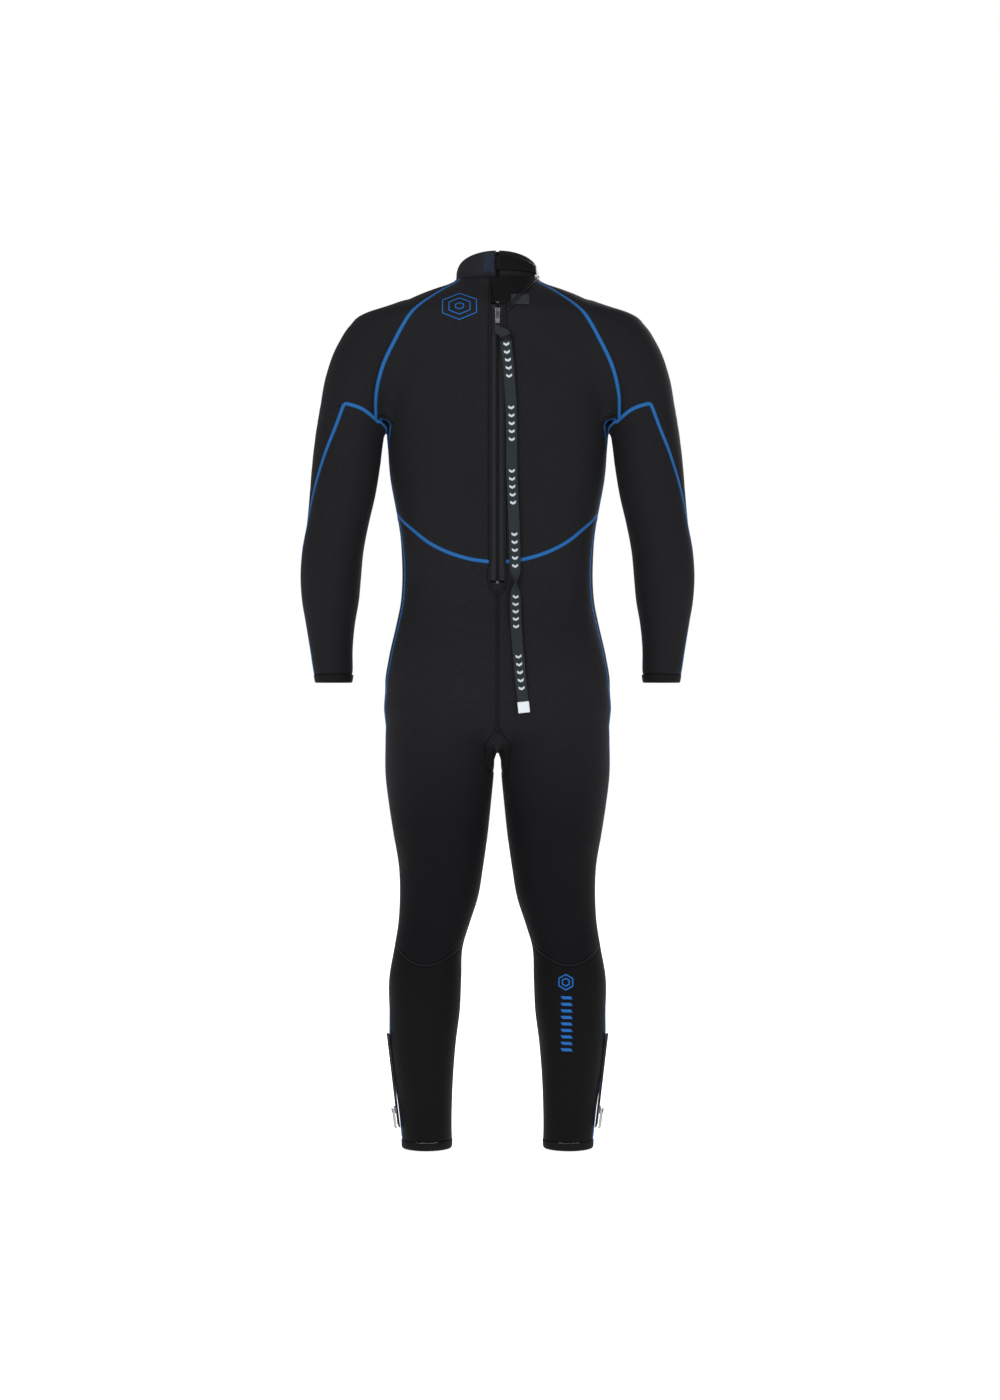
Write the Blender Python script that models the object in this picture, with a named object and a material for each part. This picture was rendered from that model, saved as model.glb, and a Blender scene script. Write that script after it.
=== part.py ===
"""Full wetsuit, men's size M, as separate closed bodies (metres, +Z up, the back faces -Y).

The body form is a smooth union of stacked sections. Seam curves are drawn on it, each neoprene
panel is a grid between its seams, and the zips, collar and leash are placed on the same form.
"""

import math

import bmesh
import bpy
import numpy as np
from mathutils import Matrix, Vector

# ---- driving dimensions -------------------------------------------------------------------
WIDTH_SCALE = 1.0           # sideways size of the whole suit against a men's M
DEPTH_SCALE = 1.0           # front-to-back size against a men's M
NEOPRENE = 0.0030           # panel thickness
SEAM_GAP = 0.0010           # clear gap between two panels at a seam
HEM_HEIGHT = 0.013          # wrist and ankle hems
HEM_THICKNESS = 0.0036

WRIST_Z = 0.748             # lowest edge of a wrist hem
ANKLE_Z = 0.000             # lowest edge of an ankle hem
ELBOW_Z = 1.027             # elbow axis
ELBOW_REACH = 0.055         # half length of the zone that bends at an elbow
KNEE_Z = 0.362              # knee axis
KNEE_REACH = 0.064          # half length of the zone that bends at a knee
KNEE_ARC = 0.030            # how far the seam below a knee dips
CROTCH_Z = 0.637
ARMPIT_Z = 1.168

ZIP_TOP_Z = 1.345           # top of the back zip's coils
ZIP_END_Z = 0.909           # lower end of the back zip's coils
ZIP_OPENING = 0.0122        # half width between the panels beside the zip
ZIP_FOOT = 0.019            # the opening's rounded end below the coils
COIL_WIDTH = 0.0021
COIL_HEIGHT = 0.0024
COIL_PROUD = 0.0006         # how far the coils stand out of the panels
COIL_GAP = 0.0004           # between the left and the right coil
TAPE_THICKNESS = 0.0009
TAPE_DEPTH = 0.0010         # tape below the panels' outer face
RUN_CLEARANCE = 0.0005      # between a slider and what it runs on
SLIDER_LENGTH = 0.0115
SLIDER_WALL = 0.0012
SLIDER_REST_Z = 1.334       # centre of the back slider, closed
PULL_LENGTH = 0.020
PULL_WIDTH = 0.0075
PULL_THICKNESS = 0.0014
LEASH_WIDTH = 0.0176
LEASH_THICKNESS = 0.0016
KEEPER_SIZE = (0.029, 0.0165, 0.0012)

ANKLE_ZIP_TOP_Z = 0.186
ANKLE_ZIP_END_Z = 0.034
ANKLE_SLIDER_Z = 0.0630
ANKLE_ZIP_DEGREES = 74.0    # round the leg from the back towards the outside
ANKLE_TAPE_WIDTH = 0.013
ANKLE_COIL_WIDTH = 0.0032
ANKLE_TAB_SIZE = (0.030, 0.0105, 0.0030)

COLLAR_THICKNESS = 0.0030
COLLAR_BACK = (1.3945, 1.4360)    # base and rim heights at the nape
COLLAR_SIDE = (1.3870, 1.4140)
COLLAR_FRONT = (1.3560, 1.3900)
TAB_THICKNESS = 0.0022
TAB_CLEARANCE = 0.0013
SECTION_POWER = 2.35              # 2 is an ellipse, more is squarer

# ---- the form: stacked sections (z, centre x, centre y, half width, half depth) ------------
TORSO_PROFILE = (               # z, half width, back, front
    (0.640, 0.020, -0.030, 0.010), (0.652, 0.085, -0.075, 0.055), (0.668, 0.138, -0.106, 0.085),
    (0.700, 0.172, -0.124, 0.102),
    (0.740, 0.181, -0.130, 0.106), (0.790, 0.175, -0.126, 0.106), (0.840, 0.164, -0.110, 0.103),
    (0.880, 0.1565, -0.0950, 0.103), (0.910, 0.1545, -0.0901, 0.104), (0.950, 0.1550, -0.0914, 0.105),
    (0.990, 0.1580, -0.0928, 0.107), (1.030, 0.165, -0.0942, 0.110), (1.080, 0.174, -0.0959, 0.114),
    (1.130, 0.178, -0.0977, 0.115), (1.180, 0.183, -0.0994, 0.114), (1.230, 0.188, -0.1012, 0.108),
    (1.280, 0.190, -0.1029, 0.095), (1.318, 0.187, -0.1042, 0.080), (1.342, 0.174, -0.1045, 0.068),
    (1.360, 0.150, -0.0950, 0.056), (1.376, 0.116, -0.0800, 0.045), (1.392, 0.070, -0.0600, 0.032),
)
TORSO = tuple((z, 0.0, (f + b) / 2, half, (f - b) / 2) for z, half, b, f in TORSO_PROFILE)
NECK = (
    (1.330, 0.0, -0.008, 0.060, 0.060), (1.370, 0.0, -0.010, 0.064, 0.063),
    (1.395, 0.0, -0.012, 0.067, 0.064), (1.415, 0.0, -0.012, 0.065, 0.062),
    (1.445, 0.0, -0.010, 0.061, 0.060),
)
ARM = (
    (0.735, 0.2655, 0.026, 0.0290, 0.0300), (0.770, 0.2680, 0.022, 0.0325, 0.0330),
    (0.800, 0.2700, 0.018, 0.0345, 0.0350), (0.845, 0.2712, 0.012, 0.0400, 0.0410),
    (0.880, 0.2708, 0.006, 0.0460, 0.0460), (0.915, 0.2700, 0.000, 0.0488, 0.0490),
    (0.960, 0.2660, -0.008, 0.0495, 0.0500), (1.005, 0.2575, -0.014, 0.0500, 0.0510),
    (1.050, 0.2500, -0.016, 0.0530, 0.0540), (1.095, 0.2445, -0.015, 0.0550, 0.0570),
    (1.145, 0.2385, -0.013, 0.0555, 0.0600), (1.195, 0.2280, -0.011, 0.0580, 0.0630),
    (1.245, 0.2130, -0.010, 0.0635, 0.0650), (1.296, 0.1960, -0.011, 0.0605, 0.0590),
    (1.322, 0.1850, -0.013, 0.0530, 0.0500), (1.342, 0.1700, -0.015, 0.0420, 0.0380),
    (1.356, 0.1500, -0.016, 0.0120, 0.0120),
)
LEG = (
    (-0.010, 0.1130, -0.020, 0.0405, 0.0440), (0.030, 0.1150, -0.020, 0.0410, 0.0450),
    (0.067, 0.1168, -0.021, 0.0432, 0.0475), (0.118, 0.1196, -0.023, 0.0482, 0.0530),
    (0.170, 0.1205, -0.024, 0.0534, 0.0585), (0.221, 0.1175, -0.024, 0.0568, 0.0620),
    (0.272, 0.1164, -0.020, 0.0580, 0.0630), (0.323, 0.1110, -0.010, 0.0550, 0.0600),
    (0.358, 0.1030, -0.003, 0.0575, 0.0610), (0.400, 0.0950, 0.000, 0.0630, 0.0660),
    (0.450, 0.0915, 0.001, 0.0680, 0.0730), (0.500, 0.0920, 0.000, 0.0755, 0.0810),
    (0.550, 0.0932, -0.002, 0.0820, 0.0890), (0.600, 0.0936, -0.005, 0.0872, 0.0970),
    (0.640, 0.0925, -0.009, 0.0885, 0.1030), (0.690, 0.0880, -0.013, 0.0900, 0.1060),
    (0.760, 0.0740, -0.012, 0.0710, 0.0960), (0.830, 0.0650, -0.004, 0.0600, 0.0800),
)
LIMBS = {"torso": np.array(TORSO), "neck": np.array(NECK), "arm": np.array(ARM), "leg": np.array(LEG)}
SLOPES = {name: np.gradient(table[:, 1:], table[:, 0], axis=0) for name, table in LIMBS.items()}
SECTION_SCALE = np.array([WIDTH_SCALE, DEPTH_SCALE, WIDTH_SCALE, DEPTH_SCALE])

# Rows and columns of the panel grids.
ROWS_RAGLAN_BACK = 8
ROWS_ARMPIT_BACK = 2
ROWS_RAGLAN_FRONT = ROWS_RAGLAN_BACK + ROWS_ARMPIT_BACK
ROWS_UPPER_ARM = 5
ROWS_UNDER_ARM = 3
ROWS_SIDE = 6
ROWS_FOREARM = 8
ROWS_BEND = 3
ROWS_ZIP_FOOT = 2
ROWS_SEAT = 6
ROWS_GUSSET = 4
ROWS_THIGH = 6
ROWS_SHIN = 8
COLS_BACK = 5
COLS_SLEEVE = 6
COLS_CHEST = 5
COLS_UNDER = ROWS_ARMPIT_BACK + ROWS_UNDER_ARM
COLS_LEG = 6


# ---- the form ------------------------------------------------------------------------------
def section(limb, z):
    """Return centre x, centre y, half width and half depth of a limb at heights z."""
    knots = LIMBS[limb][:, 0]
    values = LIMBS[limb][:, 1:]
    slopes = SLOPES[limb]
    z = np.clip(z, knots[0], knots[-1])
    low = np.clip(np.searchsorted(knots, z) - 1, 0, len(knots) - 2)
    span = knots[low + 1] - knots[low]
    t = ((z - knots[low]) / span)[:, None]
    span = span[:, None]
    result = (
        (2 * t**3 - 3 * t**2 + 1) * values[low] + (t**3 - 2 * t**2 + t) * span * slopes[low]
        + (3 * t**2 - 2 * t**3) * values[low + 1] + (t**3 - t**2) * span * slopes[low + 1]
    )
    return (result * SECTION_SCALE).T


def limb_distance(points, limb, side=1.0):
    """Return the signed distance, nearly, from a limb; side -1 mirrors it to the left."""
    x = points[:, 0] * side
    cx, cy, a, b = section(limb, points[:, 2])
    power = SECTION_POWER if limb == "torso" else 2.0
    ratio = (np.abs((x - cx) / a) ** power + np.abs((points[:, 1] - cy) / b) ** power) ** (1 / power)
    z = points[:, 2]
    beyond = np.maximum(z - LIMBS[limb][-1, 0], 0) + np.maximum(LIMBS[limb][0, 0] - z, 0)
    return (ratio - 1) * np.minimum(a, b) + 3 * beyond


def smooth_min(first, second, width):
    """Blend two distances over a width."""
    h = np.clip(0.5 + 0.5 * (second - first) / width, 0, 1)
    return second * (1 - h) + first * h - width * h * (1 - h)


def ramp(value, low, high):
    """Return 0 below low, 1 above high and a straight ramp between them."""
    return np.clip((value - low) / (high - low), 0, 1)


def form(points, region):
    """Return the signed distance from the body; region is torso or arm."""
    z = points[:, 2]
    side = np.where(points[:, 0] < 0, -1.0, 1.0)
    apart = 0.06 * (1 - ramp(z, ARMPIT_Z - 0.022, ARMPIT_Z - 0.002))
    arm = limb_distance(points, "arm", side) + (apart if region == "torso" else 0)
    trunk = smooth_min(limb_distance(points, "torso"), limb_distance(points, "neck"), 0.020)
    trunk = trunk + (apart if region == "arm" else 0)
    own = limb_distance(points, "leg", side)
    other = limb_distance(points, "leg", -side) + 0.06 * (1 - ramp(z, CROTCH_Z - 0.05, CROTCH_Z))
    legs = smooth_min(own, other, 0.014)
    upper = smooth_min(trunk, arm, 0.010 + 0.030 * ramp(z, ARMPIT_Z, 1.26))
    return smooth_min(upper, legs, 0.004 + 0.026 * ramp(z, CROTCH_Z, 0.70))


def gradient(points, region):
    """Return the form's gradient at the points."""
    step = 0.0004
    shifts = np.concatenate([np.eye(3), -np.eye(3)]) * step
    values = form((points[None] + shifts[:, None]).reshape(-1, 3), region).reshape(6, -1)
    return ((values[:3] - values[3:]) / (2 * step)).T


def unit(vectors):
    """Return the vectors at length 1."""
    return vectors / np.maximum(np.linalg.norm(vectors, axis=-1, keepdims=True), 1e-12)


def project(points, region):
    """Move points onto the form by Newton steps of limited length."""
    points = np.array(points, dtype=float)
    for _ in range(14):
        slope = gradient(points, region)
        move = -form(points, region)[:, None] * slope / np.maximum((slope**2).sum(1, keepdims=True), 0.05)
        length = np.linalg.norm(move, axis=1, keepdims=True)
        points += move * np.minimum(1, 0.02 / np.maximum(length, 1e-9))
    return points


def on_face(x, z, facing, region="torso"):
    """Return the form's point seen from the back (facing -1) or the front (+1) at x, z."""
    x *= WIDTH_SCALE
    depths = np.arange(0.30, -0.02, -0.004) * DEPTH_SCALE
    column = np.stack([np.full_like(depths, x), facing * depths, np.full_like(depths, z)], axis=1)
    first = int(np.argmax(form(column, region) < 0))
    outside = depths[first - 1]
    inside = depths[first]
    for _ in range(3):
        depths = np.linspace(outside, inside, 40)
        column = np.stack([np.full_like(depths, x), facing * depths, np.full_like(depths, z)], axis=1)
        first = max(1, int(np.argmax(form(column, region) < 0)))
        outside = depths[first - 1]
        inside = depths[first]
    return np.array([x, facing * inside, z])


def back(x, z, region="torso"):
    """Return a point on the back of the form."""
    return on_face(x, z, -1, region)


def front(x, z, region="torso"):
    """Return a point on the front of the form."""
    return on_face(x, z, 1, region)


def ring(limb, z, degrees, region="torso"):
    """Return a point round a limb: 0 is the back, 90 the wearer's right, 180 the front."""
    cx, cy, a, b = section(limb, np.array([float(z)]))[:, 0]
    angle = math.radians(degrees)
    start = np.array([[cx + a * math.sin(angle), cy - b * math.cos(angle), z]])
    return project(start, region)[0]


# ---- seams ---------------------------------------------------------------------------------
def smooth_curve(points, count=160):
    """Return a smooth curve through the points, evenly sampled by length."""
    points = np.array(points, dtype=float)
    chord = np.r_[0, np.cumsum(np.maximum(np.linalg.norm(np.diff(points, axis=0), axis=1), 1e-9))]
    slopes = np.gradient(points, chord, axis=0) if len(points) > 2 else np.zeros_like(points)
    if len(points) == 2:
        slopes[:] = (points[1] - points[0]) / chord[-1]
    at = np.linspace(0, chord[-1], count)
    low = np.clip(np.searchsorted(chord, at) - 1, 0, len(points) - 2)
    span = (chord[low + 1] - chord[low])[:, None]
    t = (at - chord[low])[:, None] / span
    return (
        (2 * t**3 - 3 * t**2 + 1) * points[low] + (t**3 - 2 * t**2 + t) * span * slopes[low]
        + (3 * t**2 - 2 * t**3) * points[low + 1] + (t**3 - t**2) * span * slopes[low + 1]
    )


def resample(curve, count):
    """Return count + 1 points evenly along a dense curve."""
    length = np.r_[0, np.cumsum(np.linalg.norm(np.diff(curve, axis=0), axis=1))]
    at = np.linspace(0, length[-1], count + 1)
    return np.stack([np.interp(at, length, curve[:, axis]) for axis in range(3)], axis=1)


class Seam:
    """A seam line on the form, with the surface normals that both its panels use."""

    def __init__(self, points, region="torso", normal=None):
        curve = smooth_curve(points)
        if normal is None:
            curve = project(curve, region)
            self.normals = unit(gradient(curve, region))
        else:
            blend = np.sin(np.linspace(0, math.pi, len(curve)))[:, None] ** 0.5
            ends = unit(gradient(curve[[0, -1]], region))
            mixed = ends[0] * (1 - np.linspace(0, 1, len(curve))[:, None])
            mixed = mixed + ends[1] * np.linspace(0, 1, len(curve))[:, None]
            self.normals = unit(mixed * (1 - blend) + np.array(normal) * blend)
        self.curve = curve

    def sample(self, count):
        """Return count + 1 points and normals along the seam."""
        length = np.r_[0, np.cumsum(np.linalg.norm(np.diff(self.curve, axis=0), axis=1))]
        at = np.linspace(0, length[-1], count + 1)
        points = np.stack([np.interp(at, length, self.curve[:, k]) for k in range(3)], axis=1)
        normals = np.stack([np.interp(at, length, self.normals[:, k]) for k in range(3)], axis=1)
        return points, unit(normals)

    def reversed(self):
        """Return the same seam run the other way."""
        copy = object.__new__(Seam)
        copy.curve = self.curve[::-1]
        copy.normals = self.normals[::-1]
        return copy

    def mirrored(self):
        """Return the seam of the other side."""
        flip = np.array([-1.0, 1.0, 1.0])
        copy = object.__new__(Seam)
        copy.curve = self.curve * flip
        copy.normals = self.normals * flip
        return copy


def chain(*parts):
    """Join (seam, count) pairs into one run of points and normals."""
    points = []
    normals = []
    for index, (seam, count) in enumerate(parts):
        p, n = seam.sample(count)
        points.append(p if index == 0 else p[1:])
        normals.append(n if index == 0 else n[1:])
    return np.concatenate(points), np.concatenate(normals)


def seam_height(heights, degrees):
    """Return a height round the neck from its values at the back, the side and the front."""
    back_z, side_z, front_z = heights
    c = math.cos(math.radians(degrees))
    return side_z + (back_z - front_z) / 2 * c + ((back_z + front_z) / 2 - side_z) * c * c


def neck_line(heights, start, end, steps=6):
    """Return points round the neck between two angles."""
    angles = np.linspace(start, end, steps + 1)
    return [ring("neck", seam_height(heights, a), a) for a in angles]


COLLAR_BASE = (COLLAR_BACK[0], COLLAR_SIDE[0], COLLAR_FRONT[0])
COLLAR_RIM = (COLLAR_BACK[1], COLLAR_SIDE[1], COLLAR_FRONT[1])
ZIP_SIDE_DEGREES = 10.5
RAGLAN_BACK_DEGREES = 62.0
RAGLAN_FRONT_DEGREES = 122.0
COLLAR_END_DEGREES = 2.5
# Where the arm seams run round the arm: height, back seam, front seam.
ARM_SEAMS = (
    (0.730, 72, 212), (0.785, 76, 212), (0.850, 88, 212), (0.912, 92, 212), (0.970, 85, 212),
    (1.034, 66, 212), (1.096, 43, 214), (1.151, 24, 226), (1.166, 6, 224), (1.205, -30, 210),
    (1.250, -25, 205), (1.300, -32, 212),
)
# Where the side seam runs down the torso, then down the leg: height, degrees.
SIDE_SEAM = ((1.120, 80), (1.070, 79), (1.020, 77), (0.980, 75), (0.945, 72), (0.900, 72),
             (0.850, 72), (0.780, 73), (0.710, 77))
SIDE_SEAM_LEG = ((0.640, 84), (0.580, 88), (0.500, 88), (0.450, 88))
SHIN_SEAM = ((0.260, 85), (0.190, ANKLE_ZIP_DEGREES + 2), (0.120, ANKLE_ZIP_DEGREES))
KNEE_TOP = KNEE_Z + KNEE_REACH
KNEE_FOOT = KNEE_Z - KNEE_REACH
KNEE_CORNER = KNEE_FOOT + KNEE_ARC
WAIST_MIDDLE_Z = 0.939       # where the waist seam meets the zip
ELBOW_TOP = ELBOW_Z + ELBOW_REACH
ELBOW_FOOT = ELBOW_Z - ELBOW_REACH
SIDE_DEGREES = 88.0
INNER_DEGREES = -90.0


def arm_seam(z, fraction):
    """Return the degrees round the arm, from its back seam (0) to its front seam (1)."""
    table = np.array(ARM_SEAMS, dtype=float)
    first = np.interp(z, table[:, 0], table[:, 1])
    second = np.interp(z, table[:, 0], table[:, 2])
    return first + (second - first) * fraction


def arm_line(heights, fraction):
    """Return points down the sleeve at a fraction between the two arm seams."""
    return [ring("arm", z, arm_seam(z, fraction), "arm") for z in heights]


def under_line(heights, fraction):
    """Return points down the inner side of the sleeve, from its back seam to its front seam."""
    points = []
    for z in heights:
        first = arm_seam(z, 0.0)
        second = arm_seam(z, 1.0) - 360.0
        points.append(ring("arm", z, first + (second - first) * fraction, "arm"))
    return points


def make_seams():
    """Return the named seams of the wearer's right side."""
    armpit_back = back(0.194, ARMPIT_Z)
    armpit_front = front(0.188, ARMPIT_Z)
    apex = back(0.244, ARMPIT_Z + 0.025, "arm")
    waist = ring("torso", 1.020, 77)
    seams = {}
    seams["neck_end"] = Seam(neck_line(COLLAR_BASE, COLLAR_END_DEGREES, ZIP_SIDE_DEGREES, 2))
    seams["neck_back"] = Seam(neck_line(COLLAR_BASE, ZIP_SIDE_DEGREES, RAGLAN_BACK_DEGREES))
    seams["neck_side"] = Seam(neck_line(COLLAR_BASE, RAGLAN_BACK_DEGREES, RAGLAN_FRONT_DEGREES))
    seams["neck_front"] = Seam(neck_line(COLLAR_BASE, RAGLAN_FRONT_DEGREES, 180))
    raglan_start = ring("neck", seam_height(COLLAR_BASE, RAGLAN_BACK_DEGREES), RAGLAN_BACK_DEGREES)
    seams["raglan_back"] = Seam(
        [raglan_start, back(0.106, 1.362), back(0.138, 1.335), back(0.163, 1.293),
         back(0.183, 1.250), back(0.193, 1.208), armpit_back]
    )
    front_start = ring("neck", seam_height(COLLAR_BASE, RAGLAN_FRONT_DEGREES), RAGLAN_FRONT_DEGREES)
    seams["raglan_front"] = Seam(
        [front_start, front(0.100, 1.335), front(0.130, 1.305), front(0.155, 1.270),
         front(0.173, 1.230), front(0.185, 1.195), armpit_front]
    )
    seams["armpit_back"] = Seam([armpit_back, back(0.216, ARMPIT_Z + 0.016, "arm"), apex], "arm")
    middle = 0.5 * (armpit_back + armpit_front)
    hollow = np.array([0.181 * WIDTH_SCALE, middle[1], ARMPIT_Z - 0.020])
    quarter = np.array([0.0, 0.55 * (armpit_front[1] - middle[1]), 0.007])
    seams["armpit_under"] = Seam(
        [armpit_back, hollow - quarter * (1, 1, -1), hollow, hollow + quarter, armpit_front],
        normal=(0, 0, -1),
    )
    upper = (1.151, 1.120, 1.096, ELBOW_TOP)
    bend = (ELBOW_TOP, ELBOW_Z, ELBOW_FOOT)
    lower = (ELBOW_FOOT, 0.940, 0.900, 0.850, 0.800, WRIST_Z + HEM_HEIGHT)
    seams["arm_back_upper"] = Seam([apex] + arm_line(upper, 0), "arm")
    seams["arm_front_upper"] = Seam([armpit_front] + arm_line(upper, 1), "arm")
    seams["arm_back_bend"] = Seam(arm_line(bend, 0), "arm")
    seams["arm_front_bend"] = Seam(arm_line(bend, 1), "arm")
    seams["arm_back_lower"] = Seam(arm_line(lower, 0), "arm")
    seams["arm_front_lower"] = Seam(arm_line(lower, 1), "arm")
    for name, z in (("elbow_top", ELBOW_TOP), ("elbow_foot", ELBOW_FOOT), ("cuff", WRIST_Z + HEM_HEIGHT)):
        steps = np.linspace(0, 1, 9)
        seams[name + "_outer"] = Seam([arm_line((z,), f)[0] for f in steps], "arm")
        seams[name + "_inner"] = Seam([under_line((z,), f)[0] for f in steps], "arm")
    seams["side_upper"] = Seam([armpit_back] + [ring("torso", z, d) for z, d in SIDE_SEAM[:2]] + [waist])
    side_lower = [ring("torso", z, d) for z, d in SIDE_SEAM[3:]]
    side_lower += [ring("leg", z, d) for z, d in SIDE_SEAM_LEG]
    seams["side_lower"] = Seam([waist] + side_lower + [ring("leg", KNEE_TOP, SIDE_DEGREES)])
    zip_foot = back(ZIP_OPENING, WAIST_MIDDLE_Z)
    seams["waist_back"] = Seam(
        [waist, back(0.137, 0.993), back(0.107, 0.969), back(0.072, 0.952), back(0.041, 0.943), zip_foot]
    )
    seams["waist_front"] = Seam(
        [waist, ring("torso", 1.008, 95), ring("torso", 0.994, 115), ring("torso", 0.977, 137),
         ring("torso", 0.963, 158), front(0, 0.957)]
    )
    zip_top = ring("neck", seam_height(COLLAR_BASE, ZIP_SIDE_DEGREES), ZIP_SIDE_DEGREES)
    side_points = [zip_top, back(ZIP_OPENING, 1.370)]
    side_points += [back(ZIP_OPENING, z) for z in np.linspace(1.340, WAIST_MIDDLE_Z, 9)]
    seams["zip_side"] = Seam(side_points)
    end = ZIP_END_Z - ZIP_FOOT
    seams["zip_foot"] = Seam(
        [zip_foot, back(ZIP_OPENING, end + 0.014), back(0.60 * ZIP_OPENING, end + 0.002), back(0, end)]
    )
    seams["centre_back"] = Seam([back(0, z) for z in np.linspace(end, 0.676, 7)])
    seams["gusset_tip_back"] = Seam([back(0, 0.676), back(0.0035, 0.668)])
    thigh_inner = ring("leg", 0.600, INNER_DEGREES)
    seams["gusset_back"] = Seam(
        [back(0.0035, 0.668), back(0.013, 0.657), back(0.0195, 0.643),
         ring("leg", 0.614, -60), thigh_inner]
    )
    seams["gusset_tip_front"] = Seam([front(0, 0.676), front(0.0035, 0.668)])
    seams["gusset_front"] = Seam(
        [front(0.0035, 0.668), front(0.013, 0.657), front(0.0195, 0.643),
         ring("leg", 0.614, -120), thigh_inner]
    )
    seams["centre_chest"] = Seam(
        [ring("neck", COLLAR_FRONT[0], 180)] + [front(0, z) for z in np.linspace(1.320, 0.957, 7)]
    )
    seams["centre_belly"] = Seam([front(0, z) for z in np.linspace(0.957, 0.676, 7)])
    inner = [ring("leg", z, INNER_DEGREES) for z in (0.560, 0.510, 0.460, KNEE_TOP)]
    seams["inner_thigh"] = Seam([thigh_inner] + inner)
    round_back = np.linspace(INNER_DEGREES, SIDE_DEGREES, 9)
    round_front = np.linspace(INNER_DEGREES + 360, SIDE_DEGREES, 9)
    for name, angles in (("back", round_back), ("front", round_front)):
        seams["knee_top_" + name] = Seam([ring("leg", KNEE_TOP, d) for d in angles])
        dips = [KNEE_CORNER - KNEE_ARC * math.cos(math.radians(d)) ** 2 for d in angles]
        seams["knee_foot_" + name] = Seam([ring("leg", z, d) for z, d in zip(dips, angles)])
    knee = (KNEE_TOP, KNEE_Z, KNEE_CORNER)
    seams["knee_outer"] = Seam([ring("leg", z, SIDE_DEGREES) for z in knee])
    seams["knee_inner"] = Seam([ring("leg", z, INNER_DEGREES) for z in knee])
    hem = ANKLE_Z + HEM_HEIGHT
    outer = [ring("leg", KNEE_CORNER, SIDE_DEGREES)] + [ring("leg", z, d) for z, d in SHIN_SEAM]
    outer += [ring("leg", z, ANKLE_ZIP_DEGREES) for z in (0.07, hem)]
    seams["shin_outer"] = Seam(outer)
    shin_heights = (KNEE_CORNER, 0.27, 0.2, 0.13, 0.07, hem)
    seams["shin_inner"] = Seam([ring("leg", z, INNER_DEGREES) for z in shin_heights])
    for name, start in (("hem_back", INNER_DEGREES), ("hem_front", INNER_DEGREES + 360)):
        seams[name] = Seam([ring("leg", hem, d) for d in np.linspace(start, ANKLE_ZIP_DEGREES, 9)])
    return seams


# ---- panels --------------------------------------------------------------------------------
def hermite(knots, values, at):
    """Interpolate rows of values smoothly at the places given."""
    knots = np.array(knots, dtype=float)
    if len(knots) == 2:
        t = ((at - knots[0]) / (knots[1] - knots[0])).reshape((-1,) + (1,) * (values.ndim - 1))
        return values[0] * (1 - t) + values[1] * t
    slopes = np.gradient(values, knots, axis=0)
    low = np.clip(np.searchsorted(knots, at) - 1, 0, len(knots) - 2)
    shape = (-1,) + (1,) * (values.ndim - 1)
    span = (knots[low + 1] - knots[low]).reshape(shape)
    t = ((at - knots[low]).reshape(shape)) / span
    return (
        (2 * t**3 - 3 * t**2 + 1) * values[low] + (t**3 - 2 * t**2 + t) * span * slopes[low]
        + (3 * t**2 - 2 * t**3) * values[low + 1] + (t**3 - t**2) * span * slopes[low + 1]
    )


def panel_grid(side_a, side_b, top, bottom, guides=(), region="torso"):
    """Return a panel's points and normals as a grid of rows by columns between its four seams.

    side_a and side_b run from top to bottom, top and bottom from side_a to side_b. guides are
    (share of the width, points from top to bottom) that the panel passes on its way.
    """
    rows = len(side_a[0])
    cols = len(top[0])
    knots = [0.0]
    lines = [side_a[0]]
    for share, points in guides:
        knots.append(share)
        lines.append(resample(smooth_curve(points), rows - 1))
    knots.append(1.0)
    lines.append(side_b[0])
    across = np.linspace(0, 1, cols)
    grid = hermite(knots, np.array(lines), across).transpose(1, 0, 2)
    down = np.linspace(0, 1, rows)[:, None, None]
    grid = grid + (1 - down) * (top[0] - grid[0])[None] + down * (bottom[0] - grid[-1])[None]
    flat = project(grid.reshape(-1, 3), region)
    normals = unit(gradient(flat, region)).reshape(rows, cols, 3)
    grid = flat.reshape(rows, cols, 3)
    for index, edge in ((0, top), (-1, bottom)):
        grid[index] = edge[0]
        normals[index] = edge[1]
    for index, edge in ((0, side_a), (-1, side_b)):
        grid[:, index] = edge[0]
        normals[:, index] = edge[1]
    return grid, normals


def draw_back_edges(grid, normals, gap, sides=(True, True, True, True)):
    """Move the grid's edges inwards by half a gap; sides are side a, side b, top and bottom."""
    moves = np.zeros_like(grid)
    plan = (
        (sides[0], grid[:, 0], grid[:, 1], normals[:, 0], (slice(None), 0)),
        (sides[1], grid[:, -1], grid[:, -2], normals[:, -1], (slice(None), -1)),
        (sides[2], grid[0], grid[1], normals[0], (0, slice(None))),
        (sides[3], grid[-1], grid[-2], normals[-1], (-1, slice(None))),
    )
    for wanted, edge, inner, normal, place in plan:
        if wanted:
            tangent = np.gradient(edge, axis=0)
            inward = unit(np.cross(normal, tangent))
            sign = np.sign(((inner - edge) * inward).sum(1, keepdims=True))
            moves[place] += inward * np.where(sign == 0, 1, sign) * gap / 2
    return grid + moves


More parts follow.
